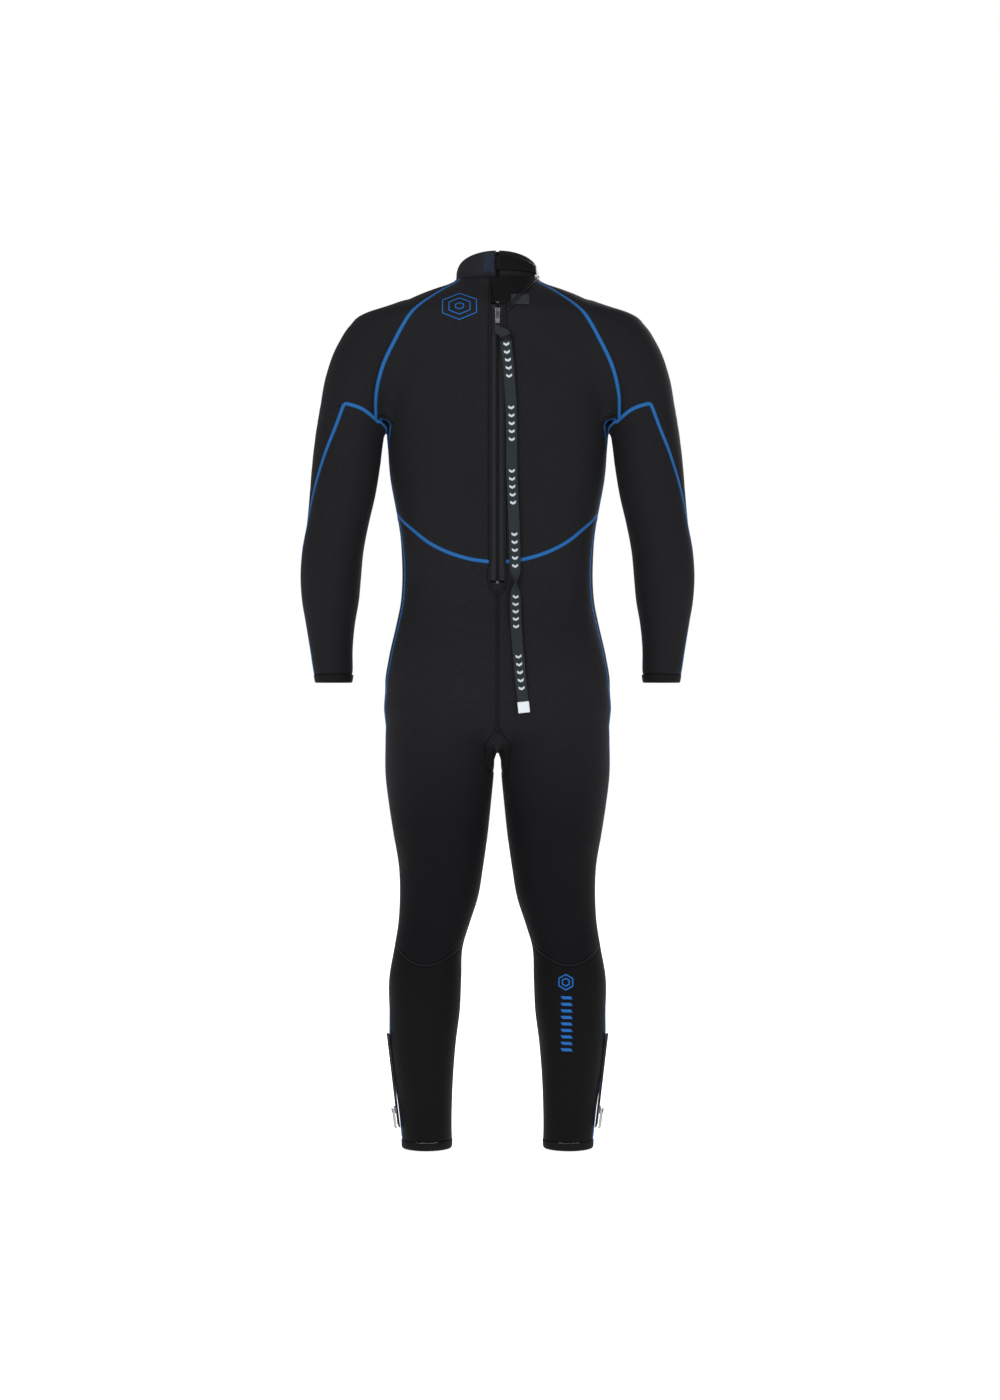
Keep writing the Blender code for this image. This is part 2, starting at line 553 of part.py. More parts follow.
def closed_body(name, outer, inner, material, closed_round=False):
    """Make one closed object from matching outer and inner grids of points."""
    rows, cols, _ = outer.shape
    count = rows * cols
    points = np.concatenate([outer.reshape(-1, 3), inner.reshape(-1, 3)])
    faces = []
    last = cols if closed_round else cols - 1
    for i in range(rows - 1):
        for j in range(last):
            k = (j + 1) % cols
            a, b, c, d = i * cols + j, i * cols + k, (i + 1) * cols + k, (i + 1) * cols + j
            faces.append((a, b, c, d))
            faces.append((a + count, d + count, c + count, b + count))
    border = []
    if closed_round:
        for row in (0, rows - 1):
            loop = [(row * cols + j, row * cols + (j + 1) % cols) for j in range(cols)]
            border += loop if row == 0 else [(b, a) for a, b in loop]
    else:
        loop = [j for j in range(cols)]
        loop += [i * cols + cols - 1 for i in range(1, rows)]
        loop += [(rows - 1) * cols + j for j in range(cols - 2, -1, -1)]
        loop += [i * cols for i in range(rows - 2, 0, -1)]
        border = list(zip(loop, loop[1:] + loop[:1]))
    for a, b in border:
        faces.append((b, a, a + count, b + count))
    return mesh_object(name, points, faces, material)


def mesh_object(name, points, faces, material):
    """Make an object from points and faces, with its faces turned outwards."""
    mesh = bpy.data.meshes.new(name)
    mesh.from_pydata([tuple(p) for p in points], [], faces)
    shape = bmesh.new()
    shape.from_mesh(mesh)
    bmesh.ops.triangulate(shape, faces=shape.faces[:])
    if shape.calc_volume(signed=True) < 0:
        bmesh.ops.reverse_faces(shape, faces=shape.faces[:])
    shape.to_mesh(mesh)
    shape.free()
    mesh.shade_smooth()
    mesh.set_sharp_from_angle(angle=math.radians(50))
    mesh.materials.append(material)
    item = bpy.data.objects.new(name, mesh)
    bpy.context.scene.collection.objects.link(item)
    return item


def place_origin(item, pivot):
    """Move an object's origin to a point and leave its shape where it is."""
    item.data.transform(Matrix.Translation(-Vector(pivot)))
    item.location = pivot


def mirror_grid(grid):
    """Return a grid of points of the other side."""
    return grid * np.array([-1.0, 1.0, 1.0])


def panel_pair(name, grid, normals, material, thickness=NEOPRENE):
    """Make the right panel and its mirror image on the left."""
    body = draw_back_edges(grid, normals, SEAM_GAP)
    inner = body - normals * thickness
    closed_body(name + "_right", body, inner, material)
    closed_body(name + "_left", mirror_grid(body), mirror_grid(inner), material)


def panel_whole(name, grid, normals, material):
    """Make one panel across the centre line from its right half, whose last column is x = 0."""
    body = draw_back_edges(grid, normals, SEAM_GAP, (True, False, True, True))
    body[:, -1, 0] = 0.0
    inner = body - normals * NEOPRENE
    inner[:, -1, 0] = 0.0
    whole = np.concatenate([body, mirror_grid(body[:, -2::-1])], axis=1)
    within = np.concatenate([inner, mirror_grid(inner[:, -2::-1])], axis=1)
    closed_body(name, whole, within, material)


def make_material(name, colour, roughness, metallic=0.0):
    """Make a plain Principled material."""
    material = bpy.data.materials.new(name)
    material.use_nodes = True
    shader = material.node_tree.nodes["Principled BSDF"]
    shader.inputs["Base Color"].default_value = (*colour, 1.0)
    shader.inputs["Roughness"].default_value = roughness
    shader.inputs["Metallic"].default_value = metallic
    material.diffuse_color = (*colour, 1.0)
    return material


def torso_panels(seams, cloth):
    """Make the back, chest, seat and front thigh panels and the crotch gusset."""
    grid, normals = panel_grid(
        chain((seams["zip_side"], ROWS_RAGLAN_BACK + ROWS_SIDE)),
        chain((seams["raglan_back"], ROWS_RAGLAN_BACK), (seams["side_upper"], ROWS_SIDE)),
        chain((seams["neck_back"], COLS_BACK)),
        chain((seams["waist_back"].reversed(), COLS_BACK)),
        [(0.5, [ring("neck", seam_height(COLLAR_BASE, 36), 36), back(0.070, 1.360), back(0.100, 1.280),
                back(0.108, 1.180), back(0.098, 1.060), back(0.085, 0.957)])],
    )
    panel_pair("back_panel", grid, normals, cloth)
    outer = chain(
        (seams["raglan_front"], ROWS_RAGLAN_FRONT), (seams["armpit_under"].reversed(), ROWS_UNDER_ARM),
        (seams["side_upper"], ROWS_SIDE),
    )
    rows = ROWS_RAGLAN_FRONT + ROWS_UNDER_ARM + ROWS_SIDE
    grid, normals = panel_grid(
        outer,
        chain((seams["centre_chest"], rows)),
        chain((seams["neck_front"], COLS_CHEST)),
        chain((seams["waist_front"], COLS_CHEST)),
        [(0.36, [ring("neck", seam_height(COLLAR_BASE, 142), 142), front(0.090, 1.290), front(0.135, 1.200),
                 ring("torso", 1.130, 124), ring("torso", 1.050, 116), ring("torso", 0.996, 112)]),
         (0.68, [ring("neck", seam_height(COLLAR_BASE, 162), 162), front(0.050, 1.270),
                 ring("torso", 1.170, 152), ring("torso", 1.060, 148), ring("torso", 0.972, 146)])],
    )
    panel_whole("chest_panel", grid, normals, cloth)
    rows_inner = ((seams["zip_foot"], ROWS_ZIP_FOOT), (seams["centre_back"], ROWS_SEAT),
                  (seams["gusset_tip_back"], 1), (seams["gusset_back"], ROWS_GUSSET),
                  (seams["inner_thigh"], ROWS_THIGH))
    total = sum(count for _, count in rows_inner)
    grid, normals = panel_grid(
        chain(*rows_inner),
        chain((seams["side_lower"], total)),
        chain((seams["waist_back"].reversed(), COLS_LEG)),
        chain((seams["knee_top_back"], COLS_LEG)),
        [(0.5, [back(0.085, 0.957), back(0.088, 0.860), back(0.092, 0.760), ring("leg", 0.660, 2),
                ring("leg", 0.560, 0), ring("leg", 0.480, -1), ring("leg", KNEE_TOP, -1)])],
    )
    panel_pair("seat_thigh_panel", grid, normals, cloth)
    rows_front = ((seams["centre_belly"], ROWS_SEAT + ROWS_ZIP_FOOT), (seams["gusset_tip_front"], 1),
                  (seams["gusset_front"], ROWS_GUSSET), (seams["inner_thigh"], ROWS_THIGH))
    grid, normals = panel_grid(
        chain(*rows_front),
        chain((seams["side_lower"], total)),
        chain((seams["waist_front"].reversed(), COLS_LEG)),
        chain((seams["knee_top_front"], COLS_LEG)),
        [(0.35, [front(0.058, 0.960), front(0.062, 0.860), front(0.070, 0.760), ring("leg", 0.660, 200),
                 ring("leg", 0.560, 206), ring("leg", 0.480, 207), ring("leg", KNEE_TOP, 207)]),
         (0.70, [ring("torso", 0.990, 120), ring("torso", 0.880, 122), ring("torso", 0.770, 124),
                 ring("leg", 0.660, 138), ring("leg", 0.560, 143), ring("leg", 0.480, 143),
                 ring("leg", KNEE_TOP, 143)])],
    )
    panel_pair("front_thigh_panel", grid, normals, cloth)
    crotch_gusset(seams, cloth)


def crotch_gusset(seams, cloth):
    """Make the small panel between the legs, from the back tip to the front tip."""
    parts = ((seams["gusset_back"], ROWS_GUSSET), (seams["gusset_front"].reversed(), ROWS_GUSSET))
    points, normals = chain(*parts)
    flip = np.array([-1.0, 1.0, 1.0])
    saddle = [back(0, 0.668), back(0, 0.656), (0, -0.032, CROTCH_Z + 0.006), (0, -0.008, CROTCH_Z + 0.001),
              (0, 0.020, CROTCH_Z + 0.006), front(0, 0.656), front(0, 0.668)]
    tips = []
    for index in (0, -1):
        ends = Seam([points[index], saddle[index], points[index] * flip])
        tips.append(chain((ends, 4)))
    mirrored = (points * flip, normals * flip)
    grid, way = panel_grid((points, normals), mirrored, tips[0], tips[1], [(0.5, saddle)])
    body = draw_back_edges(grid, way, SEAM_GAP)
    closed_body("crotch_gusset", body, body - way * NEOPRENE, cloth)


def sleeve_panels(seams, cloth):
    """Make the sleeve's top, under, elbow and forearm panels on each side."""
    grid, normals = panel_grid(
        chain((seams["raglan_back"], ROWS_RAGLAN_BACK), (seams["armpit_back"], ROWS_ARMPIT_BACK),
              (seams["arm_back_upper"], ROWS_UPPER_ARM)),
        chain((seams["raglan_front"], ROWS_RAGLAN_FRONT), (seams["arm_front_upper"], ROWS_UPPER_ARM)),
        chain((seams["neck_side"], COLS_SLEEVE)),
        chain((seams["elbow_top_outer"], COLS_SLEEVE)),
        [(f, sleeve_guide(f)) for f in (0.25, 0.5, 0.75)],
        "arm",
    )
    panel_pair("sleeve_top", grid, normals, cloth)
    grid, normals = panel_grid(
        chain((seams["arm_back_upper"], ROWS_UPPER_ARM)),
        chain((seams["arm_front_upper"], ROWS_UPPER_ARM)),
        chain((seams["armpit_back"].reversed(), ROWS_ARMPIT_BACK), (seams["armpit_under"], ROWS_UNDER_ARM)),
        chain((seams["elbow_top_inner"], COLS_UNDER)),
        [(f, [seams["armpit_under"].curve[int(150 * (f - 0.2))]] + under_line((1.125, 1.096, ELBOW_TOP), f))
         for f in (0.45, 0.75)],
        "arm",
    )
    panel_pair("under_sleeve", grid, normals, cloth)
    spans = (("elbow", "bend", "elbow_top", "elbow_foot", ROWS_BEND, (ELBOW_TOP, ELBOW_Z, ELBOW_FOOT)),
             ("forearm", "lower", "elbow_foot", "cuff", ROWS_FOREARM,
              (ELBOW_FOOT, 0.930, 0.870, 0.810, WRIST_Z + HEM_HEIGHT)))
    for name, part, head, foot, rows, heights in spans:
        back_side = chain((seams["arm_back_" + part], rows))
        front_side = chain((seams["arm_front_" + part], rows))
        for half, line, cols in (("outer", arm_line, COLS_SLEEVE), ("inner", under_line, COLS_UNDER)):
            grid, normals = panel_grid(
                back_side, front_side,
                chain((seams[head + "_" + half], cols)),
                chain((seams[foot + "_" + half], cols)),
                [(f, line(heights, f)) for f in (0.25, 0.5, 0.75)],
                "arm",
            )
            panel_pair(name + "_" + half, grid, normals, cloth)


def sleeve_guide(fraction):
    """Return points over the shoulder and down the sleeve at a share of its width."""
    degrees = RAGLAN_BACK_DEGREES + (RAGLAN_FRONT_DEGREES - RAGLAN_BACK_DEGREES) * fraction
    points = [ring("neck", seam_height(COLLAR_BASE, degrees), degrees)]
    for x, z, reach in ((0.105, 1.375, 0.060), (0.148, 1.350, 0.085)):
        start = np.array([[x * WIDTH_SCALE, -0.014 + reach * (fraction - 0.5), z]])
        points.append(project(start, "arm")[0])
    return points + arm_line((1.300, 1.250, 1.205, 1.160, 1.115, ELBOW_TOP), fraction)


def leg_panels(seams, cloth):
    """Make the knee, calf and shin panels on each side."""
    knee_rows = ROWS_BEND
    plans = (
        ("knee_back", "knee_top_back", "knee_foot_back", "knee_inner", "knee_outer", knee_rows,
         (-46, -1, 44), (KNEE_TOP, KNEE_Z, KNEE_FOOT)),
        ("knee_pad", "knee_top_front", "knee_foot_front", "knee_inner", "knee_outer", knee_rows,
         (225, 179, 133), (KNEE_TOP, KNEE_Z, KNEE_FOOT)),
        ("calf_panel", "knee_foot_back", "hem_back", "shin_inner", "shin_outer", ROWS_SHIN,
         (-49, -6, 34), (KNEE_FOOT - 0.004, 0.24, 0.17, 0.10, ANKLE_Z + HEM_HEIGHT)),
        ("shin_panel", "knee_foot_front", "hem_front", "shin_inner", "shin_outer", ROWS_SHIN,
         (221, 174, 126), (KNEE_FOOT - 0.004, 0.24, 0.17, 0.10, ANKLE_Z + HEM_HEIGHT)),
    )
    for name, head, foot, inner, outer, rows, angles, heights in plans:
        guides = []
        for share, degrees in zip((0.25, 0.5, 0.75), angles):
            guides.append((share, [ring("leg", z, degrees) for z in heights]))
        grid, normals = panel_grid(
            chain((seams[inner], rows)), chain((seams[outer], rows)),
            chain((seams[head], COLS_LEG)), chain((seams[foot], COLS_LEG)), guides,
        )
        panel_pair(name, grid, normals, cloth)


def hems(rib):
    """Make the turned hem round each wrist and ankle."""
    for name, limb, low in (("wrist_hem", "arm", WRIST_Z), ("ankle_hem", "leg", ANKLE_Z)):
        rows = []
        heights = (low + HEM_HEIGHT - SEAM_GAP / 2, low)
        for z in heights:
            rows.append([ring(limb, z, d, "arm") for d in np.linspace(0, 360, 21)[:-1]])
        grid = np.array(rows)
        grid[..., 2] = np.array(heights)[:, None]
        normals = unit(gradient(grid.reshape(-1, 3), "arm")).reshape(grid.shape)
        normals[..., 2] = 0
        normals = unit(normals)
        inner = grid - normals * HEM_THICKNESS
        closed_body(name + "_right", grid, inner, rib, True)
        closed_body(name + "_left", mirror_grid(grid), mirror_grid(inner), rib, True)


# ---- zips, pulls and the leash -------------------------------------------------------------
class Track:
    """A straight zip line: origin at the slider's rest, down along it, across it and outward."""

    def __init__(self, head, foot, rest_z, outward):
        self.down = unit(np.array(foot) - np.array(head))
        self.out = np.array(outward) - np.dot(outward, self.down) * self.down
        self.out = unit(self.out)
        self.across = np.cross(self.out, self.down)
        share = (head[2] - rest_z) / (head[2] - foot[2])
        self.origin = np.array(head) + (np.array(foot) - np.array(head)) * share

    def at(self, across, down, out):
        """Return a world point from the track's own coordinates."""
        return self.origin + self.across * across + self.down * down + self.out * out

    def down_at(self, z):
        """Return the distance down the track of a height."""
        return (self.origin[2] - z) / -self.down[2]

    def mirrored(self):
        """Return the track of the other side."""
        flip = np.array([-1.0, 1.0, 1.0])
        copy = object.__new__(Track)
        copy.down = self.down * flip
        copy.out = self.out * flip
        copy.across = self.across * flip
        copy.origin = self.origin * flip
        return copy


def block(name, track, across, down, out, material):
    """Make a box between pairs of track coordinates."""
    points = [track.at(a, d, o) for o in out for d in down for a in across]
    faces = [(0, 1, 3, 2), (4, 6, 7, 5), (0, 4, 5, 1), (2, 3, 7, 6), (0, 2, 6, 4), (1, 5, 7, 3)]
    return mesh_object(name, points, faces, material)


def bar(name, track, outline, down, material):
    """Extrude an outline of (across, out) pairs down the track."""
    count = len(outline)
    points = [track.at(a, d, o) for d in down for a, o in outline]
    faces = [tuple(range(count)), tuple(range(2 * count - 1, count - 1, -1))]
    faces += [(j, j + count, (j + 1) % count + count, (j + 1) % count) for j in range(count)]
    return mesh_object(name, points, faces, material)


def use_boolean(item, tool, operation):
    """Cut or join with a hidden helper object."""
    tool.hide_render = True
    tool.display_type = "WIRE"
    modifier = item.modifiers.new(operation.lower(), "BOOLEAN")
    modifier.operation = operation
    modifier.object = tool
    modifier.solver = "EXACT"


STOP_LENGTH = 0.0040         # metal stops at the chain's ends
STOP_GAP = 0.0004            # stop to coil
INNER_FLAP_HALF = 0.022
INNER_FLAP_THICKNESS = 0.0015
INNER_FLAP_CLEARANCE = 0.0021  # behind the panels' inner face
ANKLE_COIL_GAP = 0.0003      # tape to coil
ANKLE_COIL_HEIGHT = 0.0018
BAIL_BAR = 0.0012
BAIL_HALF_LENGTH = 0.0035
BAIL_CLEARANCE = 0.0005      # above and below a pull inside its bail


def slider_heights(coil_top, pull_thickness):
    """Return the slider's plate bottom, plate top and the pull's axis height."""
    plate_low = coil_top + RUN_CLEARANCE
    plate_high = plate_low + SLIDER_WALL
    return plate_low, plate_high, plate_high + BAIL_CLEARANCE + pull_thickness / 2


def make_slider(name, track, coil_half, coil_top, tape_top, pull_thickness, material):
    """Make a slider that straddles the coils, with a bail for its pull."""
    plate_low, plate_high, _ = slider_heights(coil_top, pull_thickness)
    inner = coil_half + RUN_CLEARANCE
    outer = inner + SLIDER_WALL
    foot = tape_top + RUN_CLEARANCE
    outline = [(-outer, foot), (-inner, foot), (-inner, plate_low), (inner, plate_low), (inner, foot),
               (outer, foot), (outer, plate_high), (-outer, plate_high)]
    half = SLIDER_LENGTH / 2
    slider = bar(name, track, outline, (-half, half), material)
    low = plate_high - 0.0004
    high = plate_high + pull_thickness + 2 * BAIL_CLEARANCE
    reach = BAIL_HALF_LENGTH
    inside = reach - BAIL_BAR
    arch = [(-reach, low), (-reach, high + BAIL_BAR), (reach, high + BAIL_BAR), (reach, low),
            (inside, low), (inside, high), (-inside, high), (-inside, low)]
    points = [track.at(a, d, o) for a in (-BAIL_BAR / 2, BAIL_BAR / 2) for d, o in arch]
    faces = [tuple(range(8)), tuple(range(15, 7, -1))]
    faces += [(j, j + 8, (j + 1) % 8 + 8, (j + 1) % 8) for j in range(8)]
    tool = mesh_object(name + "_bail_tool", points, faces, material)
    use_boolean(slider, tool, "UNION")
    return slider


def make_pull(name, track, coil_top, length, width, thickness, material):
    """Make a pull tab whose top bar passes through the slider's bail."""
    _, _, axis = slider_heights(coil_top, thickness)
    out = (axis - thickness / 2, axis + thickness / 2)
    low = -BAIL_BAR / 2
    pull = block(name, track, (-width / 2, width / 2), (low, low + length), out, material)
    window = (-BAIL_BAR, BAIL_BAR)
    tool = block(name + "_window_tool", track, window, (BAIL_BAR / 2, BAIL_HALF_LENGTH + 0.0031),
                 (out[0] - 0.001, out[1] + 0.001), material)
    use_boolean(pull, tool, "DIFFERENCE")
    return pull, track.at(0, 0, axis)


def back_zip(cloth, nylon, metal, webbing):
    """Make the back zip's tapes, coils, stops, slider, pull, inner flap and leash."""
    head = back(0, ZIP_TOP_Z)
    foot = back(0, ZIP_END_Z + 0.010)
    track = Track(head, foot, SLIDER_REST_Z, (0, -1, 0))
    top = track.down_at(ZIP_TOP_Z)
    end = track.down_at(ZIP_END_Z)
    coil = (COIL_GAP / 2, COIL_GAP / 2 + COIL_WIDTH)
    coil_out = (COIL_PROUD - COIL_HEIGHT, COIL_PROUD)
    tape = (coil[1] + 0.0003, ZIP_OPENING - SEAM_GAP)
    tape_out = (-TAPE_DEPTH - TAPE_THICKNESS, -TAPE_DEPTH)
    for name, side in (("right", 1), ("left", -1)):
        block("zip_tape_" + name, track, (side * tape[0], side * tape[1]), (top, end), tape_out, nylon)
        across = (side * coil[0], side * coil[1])
        block("zip_coil_" + name, track, across, (top, end), coil_out, nylon)
        above = (top - STOP_GAP - STOP_LENGTH, top - STOP_GAP)
        block("zip_top_stop_" + name, track, across, above, coil_out, metal)
    below = (end + STOP_GAP, end + STOP_GAP + STOP_LENGTH)
    stop_out = (coil_out[0], COIL_PROUD + 0.0006)
    block("zip_bottom_stop", track, (-coil[1], coil[1]), below, stop_out, metal)
    flap_top = -NEOPRENE - INNER_FLAP_CLEARANCE
    flap_out = (flap_top - INNER_FLAP_THICKNESS, flap_top)
    flap_ends = (top + 0.002, end - 0.020)
    block("zip_inner_flap", track, (-INNER_FLAP_HALF, INNER_FLAP_HALF), flap_ends, flap_out, cloth)
    slider = make_slider("zip_slider", track, coil[1], COIL_PROUD, -TAPE_DEPTH, PULL_THICKNESS, metal)
    place_origin(slider, track.origin)
    pull, axis = make_pull("zip_pull", track, COIL_PROUD, PULL_LENGTH, PULL_WIDTH, PULL_THICKNESS, metal)
    place_origin(pull, axis)
    make_leash(track, axis, webbing)
    neck_flap(cloth)
    keeper(webbing)


def make_leash(track, axis, webbing):
    """Make the flat webbing leash from the pull's end down to the seat."""
    start = axis + track.down * (PULL_LENGTH - BAIL_BAR / 2 + 0.0022)
    route = [start, start + track.down * 0.008]
    for x, z, lift in ((0.0085, 1.300, 0.0052), (0.0150, 1.270, 0.0052), (0.0190, 1.225, 0.0050),
                       (0.0216, 1.184, 0.0050), (0.0228, 1.080, 0.0050), (0.0270, 0.976, 0.0052),
                       (0.0285, 0.898, 0.0056), (0.0290, 0.845, 0.0056), (0.0340, 0.778, 0.0054),
                       (0.0420, 0.700, 0.0054)):
        route.append(back(x, z) + np.array([0.0, -lift, 0.0]))
    line = resample(smooth_curve(route), 18)
    tangents = unit(np.gradient(line, axis=0))
    outward = np.array([0.0, -1.0, 0.0])
    across = unit(np.cross(outward, tangents))
    normal = unit(np.cross(tangents, across))
    widths = np.full(len(line), LEASH_WIDTH / 2)
    widths[0] = PULL_WIDTH / 2
    outer = np.stack([line - across * widths[:, None], line + across * widths[:, None]], axis=1)
    offset = normal[:, None] * LEASH_THICKNESS / 2
    closed_body("leash", outer - offset, outer + offset, webbing)


def neck_flap(cloth):
    """Make the inner flap that closes the opening above the zip."""
    half = ZIP_OPENING - 2 * SEAM_GAP
    heights = np.linspace(COLLAR_BASE[0] - 0.003, ZIP_TOP_Z + 0.0060, 4)
    grid = np.array([[back(x, z) for x in (-half, 0.0, half)] for z in heights])
    normals = unit(gradient(grid.reshape(-1, 3), "torso")).reshape(grid.shape)
    closed_body("neck_flap", grid - normals * 0.0008, grid - normals * 0.0028, cloth)


def keeper(webbing):
    """Make the short webbing tab beside the zip's top."""
    width, height, thickness = KEEPER_SIZE
    centre = (0.036, 1.353)
    rows = np.linspace(centre[1] + height / 2, centre[1] - height / 2, 3)
    cols = np.linspace(centre[0] - width / 2, centre[0] + width / 2, 4)
    grid = np.array([[back(x, z) for x in cols] for z in rows])
    normals = unit(gradient(grid.reshape(-1, 3), "torso")).reshape(grid.shape)
    closed_body("leash_keeper", grid + normals * (thickness + 0.0010), grid + normals * 0.0010, webbing)


def ankle_zips(nylon, metal, moulded):
    """Make the tape, coil, slider and tab of the zip on the outer side of each ankle."""
    heights = np.linspace(ANKLE_ZIP_TOP_Z, ANKLE_ZIP_END_Z, 9)
    points = np.array([ring("leg", z, ANKLE_ZIP_DEGREES) for z in heights])
    outward = unit(gradient(points, "torso")).mean(axis=0)
    base = Track(points[0], points[-1], ANKLE_SLIDER_Z, outward)
    lift = max(np.dot(point - points[0], base.out) for point in points) + 0.0008
    right = Track(points[0] + base.out * lift, points[-1] + base.out * lift, ANKLE_SLIDER_Z, outward)
    coil_half = ANKLE_COIL_WIDTH / 2
    for side, track in (("right", right), ("left", right.mirrored())):
        top = track.down_at(ANKLE_ZIP_TOP_Z)
        end = track.down_at(ANKLE_ZIP_END_Z)
        half = ANKLE_TAPE_WIDTH / 2
        block("ankle_zip_tape_" + side, track, (-half, half), (top, end), (0, TAPE_THICKNESS), nylon)
        low = TAPE_THICKNESS + ANKLE_COIL_GAP
        high = low + ANKLE_COIL_HEIGHT
        ends = (top + 0.001, end - 0.001)
        block("ankle_zip_coil_" + side, track, (-coil_half, coil_half), ends, (low, high), nylon)
        name = "ankle_slider_" + side
        tab_depth = ANKLE_TAB_SIZE[2]
        slider = make_slider(name, track, coil_half, high, TAPE_THICKNESS, tab_depth, metal)
        place_origin(slider, track.origin)
        tab, axis = make_pull("ankle_tab_" + side, track, high, *ANKLE_TAB_SIZE, moulded)
        place_origin(tab, axis)


# ---- collar --------------------------------------------------------------------------------
def collar(seams, cloth, loop, label):
    """Make the collar's halves, loop patch, closure tab and care label."""
    base = chain((seams["neck_end"], 1), (seams["neck_back"], COLS_BACK), (seams["neck_side"], COLS_SLEEVE),
                 (seams["neck_front"], COLS_CHEST))
    rim = Seam(neck_line(COLLAR_RIM, COLLAR_END_DEGREES, 180, 12))
    cols = len(base[0]) - 1
    ends = []
    for degrees, index in ((COLLAR_END_DEGREES, 0), (180, -1)):
        middle = 0.5 * (seam_height(COLLAR_BASE, degrees) + seam_height(COLLAR_RIM, degrees))
        start = rim.curve[index]
        ends.append(chain((Seam([start, ring("neck", middle, degrees), base[0][index]]), 4)))
    grid, normals = panel_grid(ends[0], ends[1], rim.sample(cols), base)
    panel_pair("collar", grid, normals, cloth, COLLAR_THICKNESS)
    tab_span = (-2.5, 66.0)
    strips = (
        ("collar_loop_patch", (-20.0, -4.5), (0.004, 0.006), TAB_CLEARANCE, 0.0010, loop),
        ("collar_closure_tab", tab_span, (0.008, 0.009), TAB_CLEARANCE, TAB_THICKNESS, cloth),
        ("neck_label", (72.0, 80.0), (0.006, 0.004), TAB_CLEARANCE, 0.0006, label),
    )
    for name, span, margins, clear, thickness, material in strips:
        count = max(2, int((span[1] - span[0]) / 6))
        angles = np.linspace(span[0], span[1], count)
        rows = []
        for share in (0.0, 0.5, 1.0):
            row = []
            for d in angles:
                high = seam_height(COLLAR_RIM, abs(d)) - margins[0]
                low = seam_height(COLLAR_BASE, abs(d)) + margins[1]
                row.append(ring("neck", high + (low - high) * share, d))
            rows.append(row)
        strip = np.array(rows)
        way = unit(gradient(strip.reshape(-1, 3), "torso")).reshape(strip.shape)
        item = closed_body(name, strip + way * (clear + thickness), strip + way * clear, material)
        if name == "collar_closure_tab":
            place_origin(item, (strip + way * (clear + thickness))[1, -1])


def main():
    """Build every piece of the suit."""
    for item in list(bpy.data.objects):
        bpy.data.objects.remove(item, do_unlink=True)
    cloth = make_material("neoprene_black", (0.020, 0.020, 0.022), 0.75)
    rib = make_material("hem_black", (0.014, 0.014, 0.016), 0.70)
    nylon = make_material("zip_nylon", (0.018, 0.020, 0.024), 0.50)
    metal = make_material("zip_metal", (0.10, 0.10, 0.11), 0.35, 1.0)
    webbing = make_material("leash_webbing", (0.032, 0.038, 0.044), 0.65)
    loop = make_material("loop_navy", (0.012, 0.016, 0.030), 0.95)
    moulded = make_material("tab_grey", (0.36, 0.37, 0.38), 0.50)
    white = make_material("label_white", (0.75, 0.76, 0.76), 0.80)
    seams = make_seams()
    torso_panels(seams, cloth)
    sleeve_panels(seams, cloth)
    leg_panels(seams, cloth)
    hems(rib)
    back_zip(cloth, nylon, metal, webbing)
    ankle_zips(nylon, metal, moulded)
    collar(seams, cloth, loop, white)


main()
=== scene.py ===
"""Full wetsuit: the visual model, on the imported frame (metres, +Z up, the back faces -Y)."""

from __future__ import annotations

import logging
import math
from dataclasses import dataclass, field
from enum import Enum

import bmesh
import bpy
import numpy as np
from mathutils import Matrix, Vector


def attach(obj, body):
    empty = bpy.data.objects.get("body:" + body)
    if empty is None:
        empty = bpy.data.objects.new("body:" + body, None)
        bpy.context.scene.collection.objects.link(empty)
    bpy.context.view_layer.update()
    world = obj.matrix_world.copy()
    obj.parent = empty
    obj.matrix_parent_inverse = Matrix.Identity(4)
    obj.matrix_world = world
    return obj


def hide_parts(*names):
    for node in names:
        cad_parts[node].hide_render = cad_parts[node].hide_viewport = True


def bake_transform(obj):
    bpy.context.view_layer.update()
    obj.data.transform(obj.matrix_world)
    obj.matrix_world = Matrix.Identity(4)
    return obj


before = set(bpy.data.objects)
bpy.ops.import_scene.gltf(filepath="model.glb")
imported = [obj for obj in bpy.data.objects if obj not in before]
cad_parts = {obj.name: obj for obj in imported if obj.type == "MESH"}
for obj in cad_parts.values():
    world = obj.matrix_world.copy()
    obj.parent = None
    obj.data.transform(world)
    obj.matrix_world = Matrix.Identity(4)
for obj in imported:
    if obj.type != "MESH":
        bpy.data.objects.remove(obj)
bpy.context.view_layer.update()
LOG = logging.getLogger("wetsuit")
MIRROR = np.array([-1.0, 1.0, 1.0])


class Side(Enum):
    """Which side of the wearer a piece is on; the design is drawn on the right."""

    RIGHT = 1
    LEFT = -1

    @property
    def word(self) -> str:
        """Return the word used in names."""
        return self.name.lower()


class Region(Enum):
    """Which part of the form a panel lies on where arm and trunk run close."""

    TORSO = "torso"
    ARM = "arm"


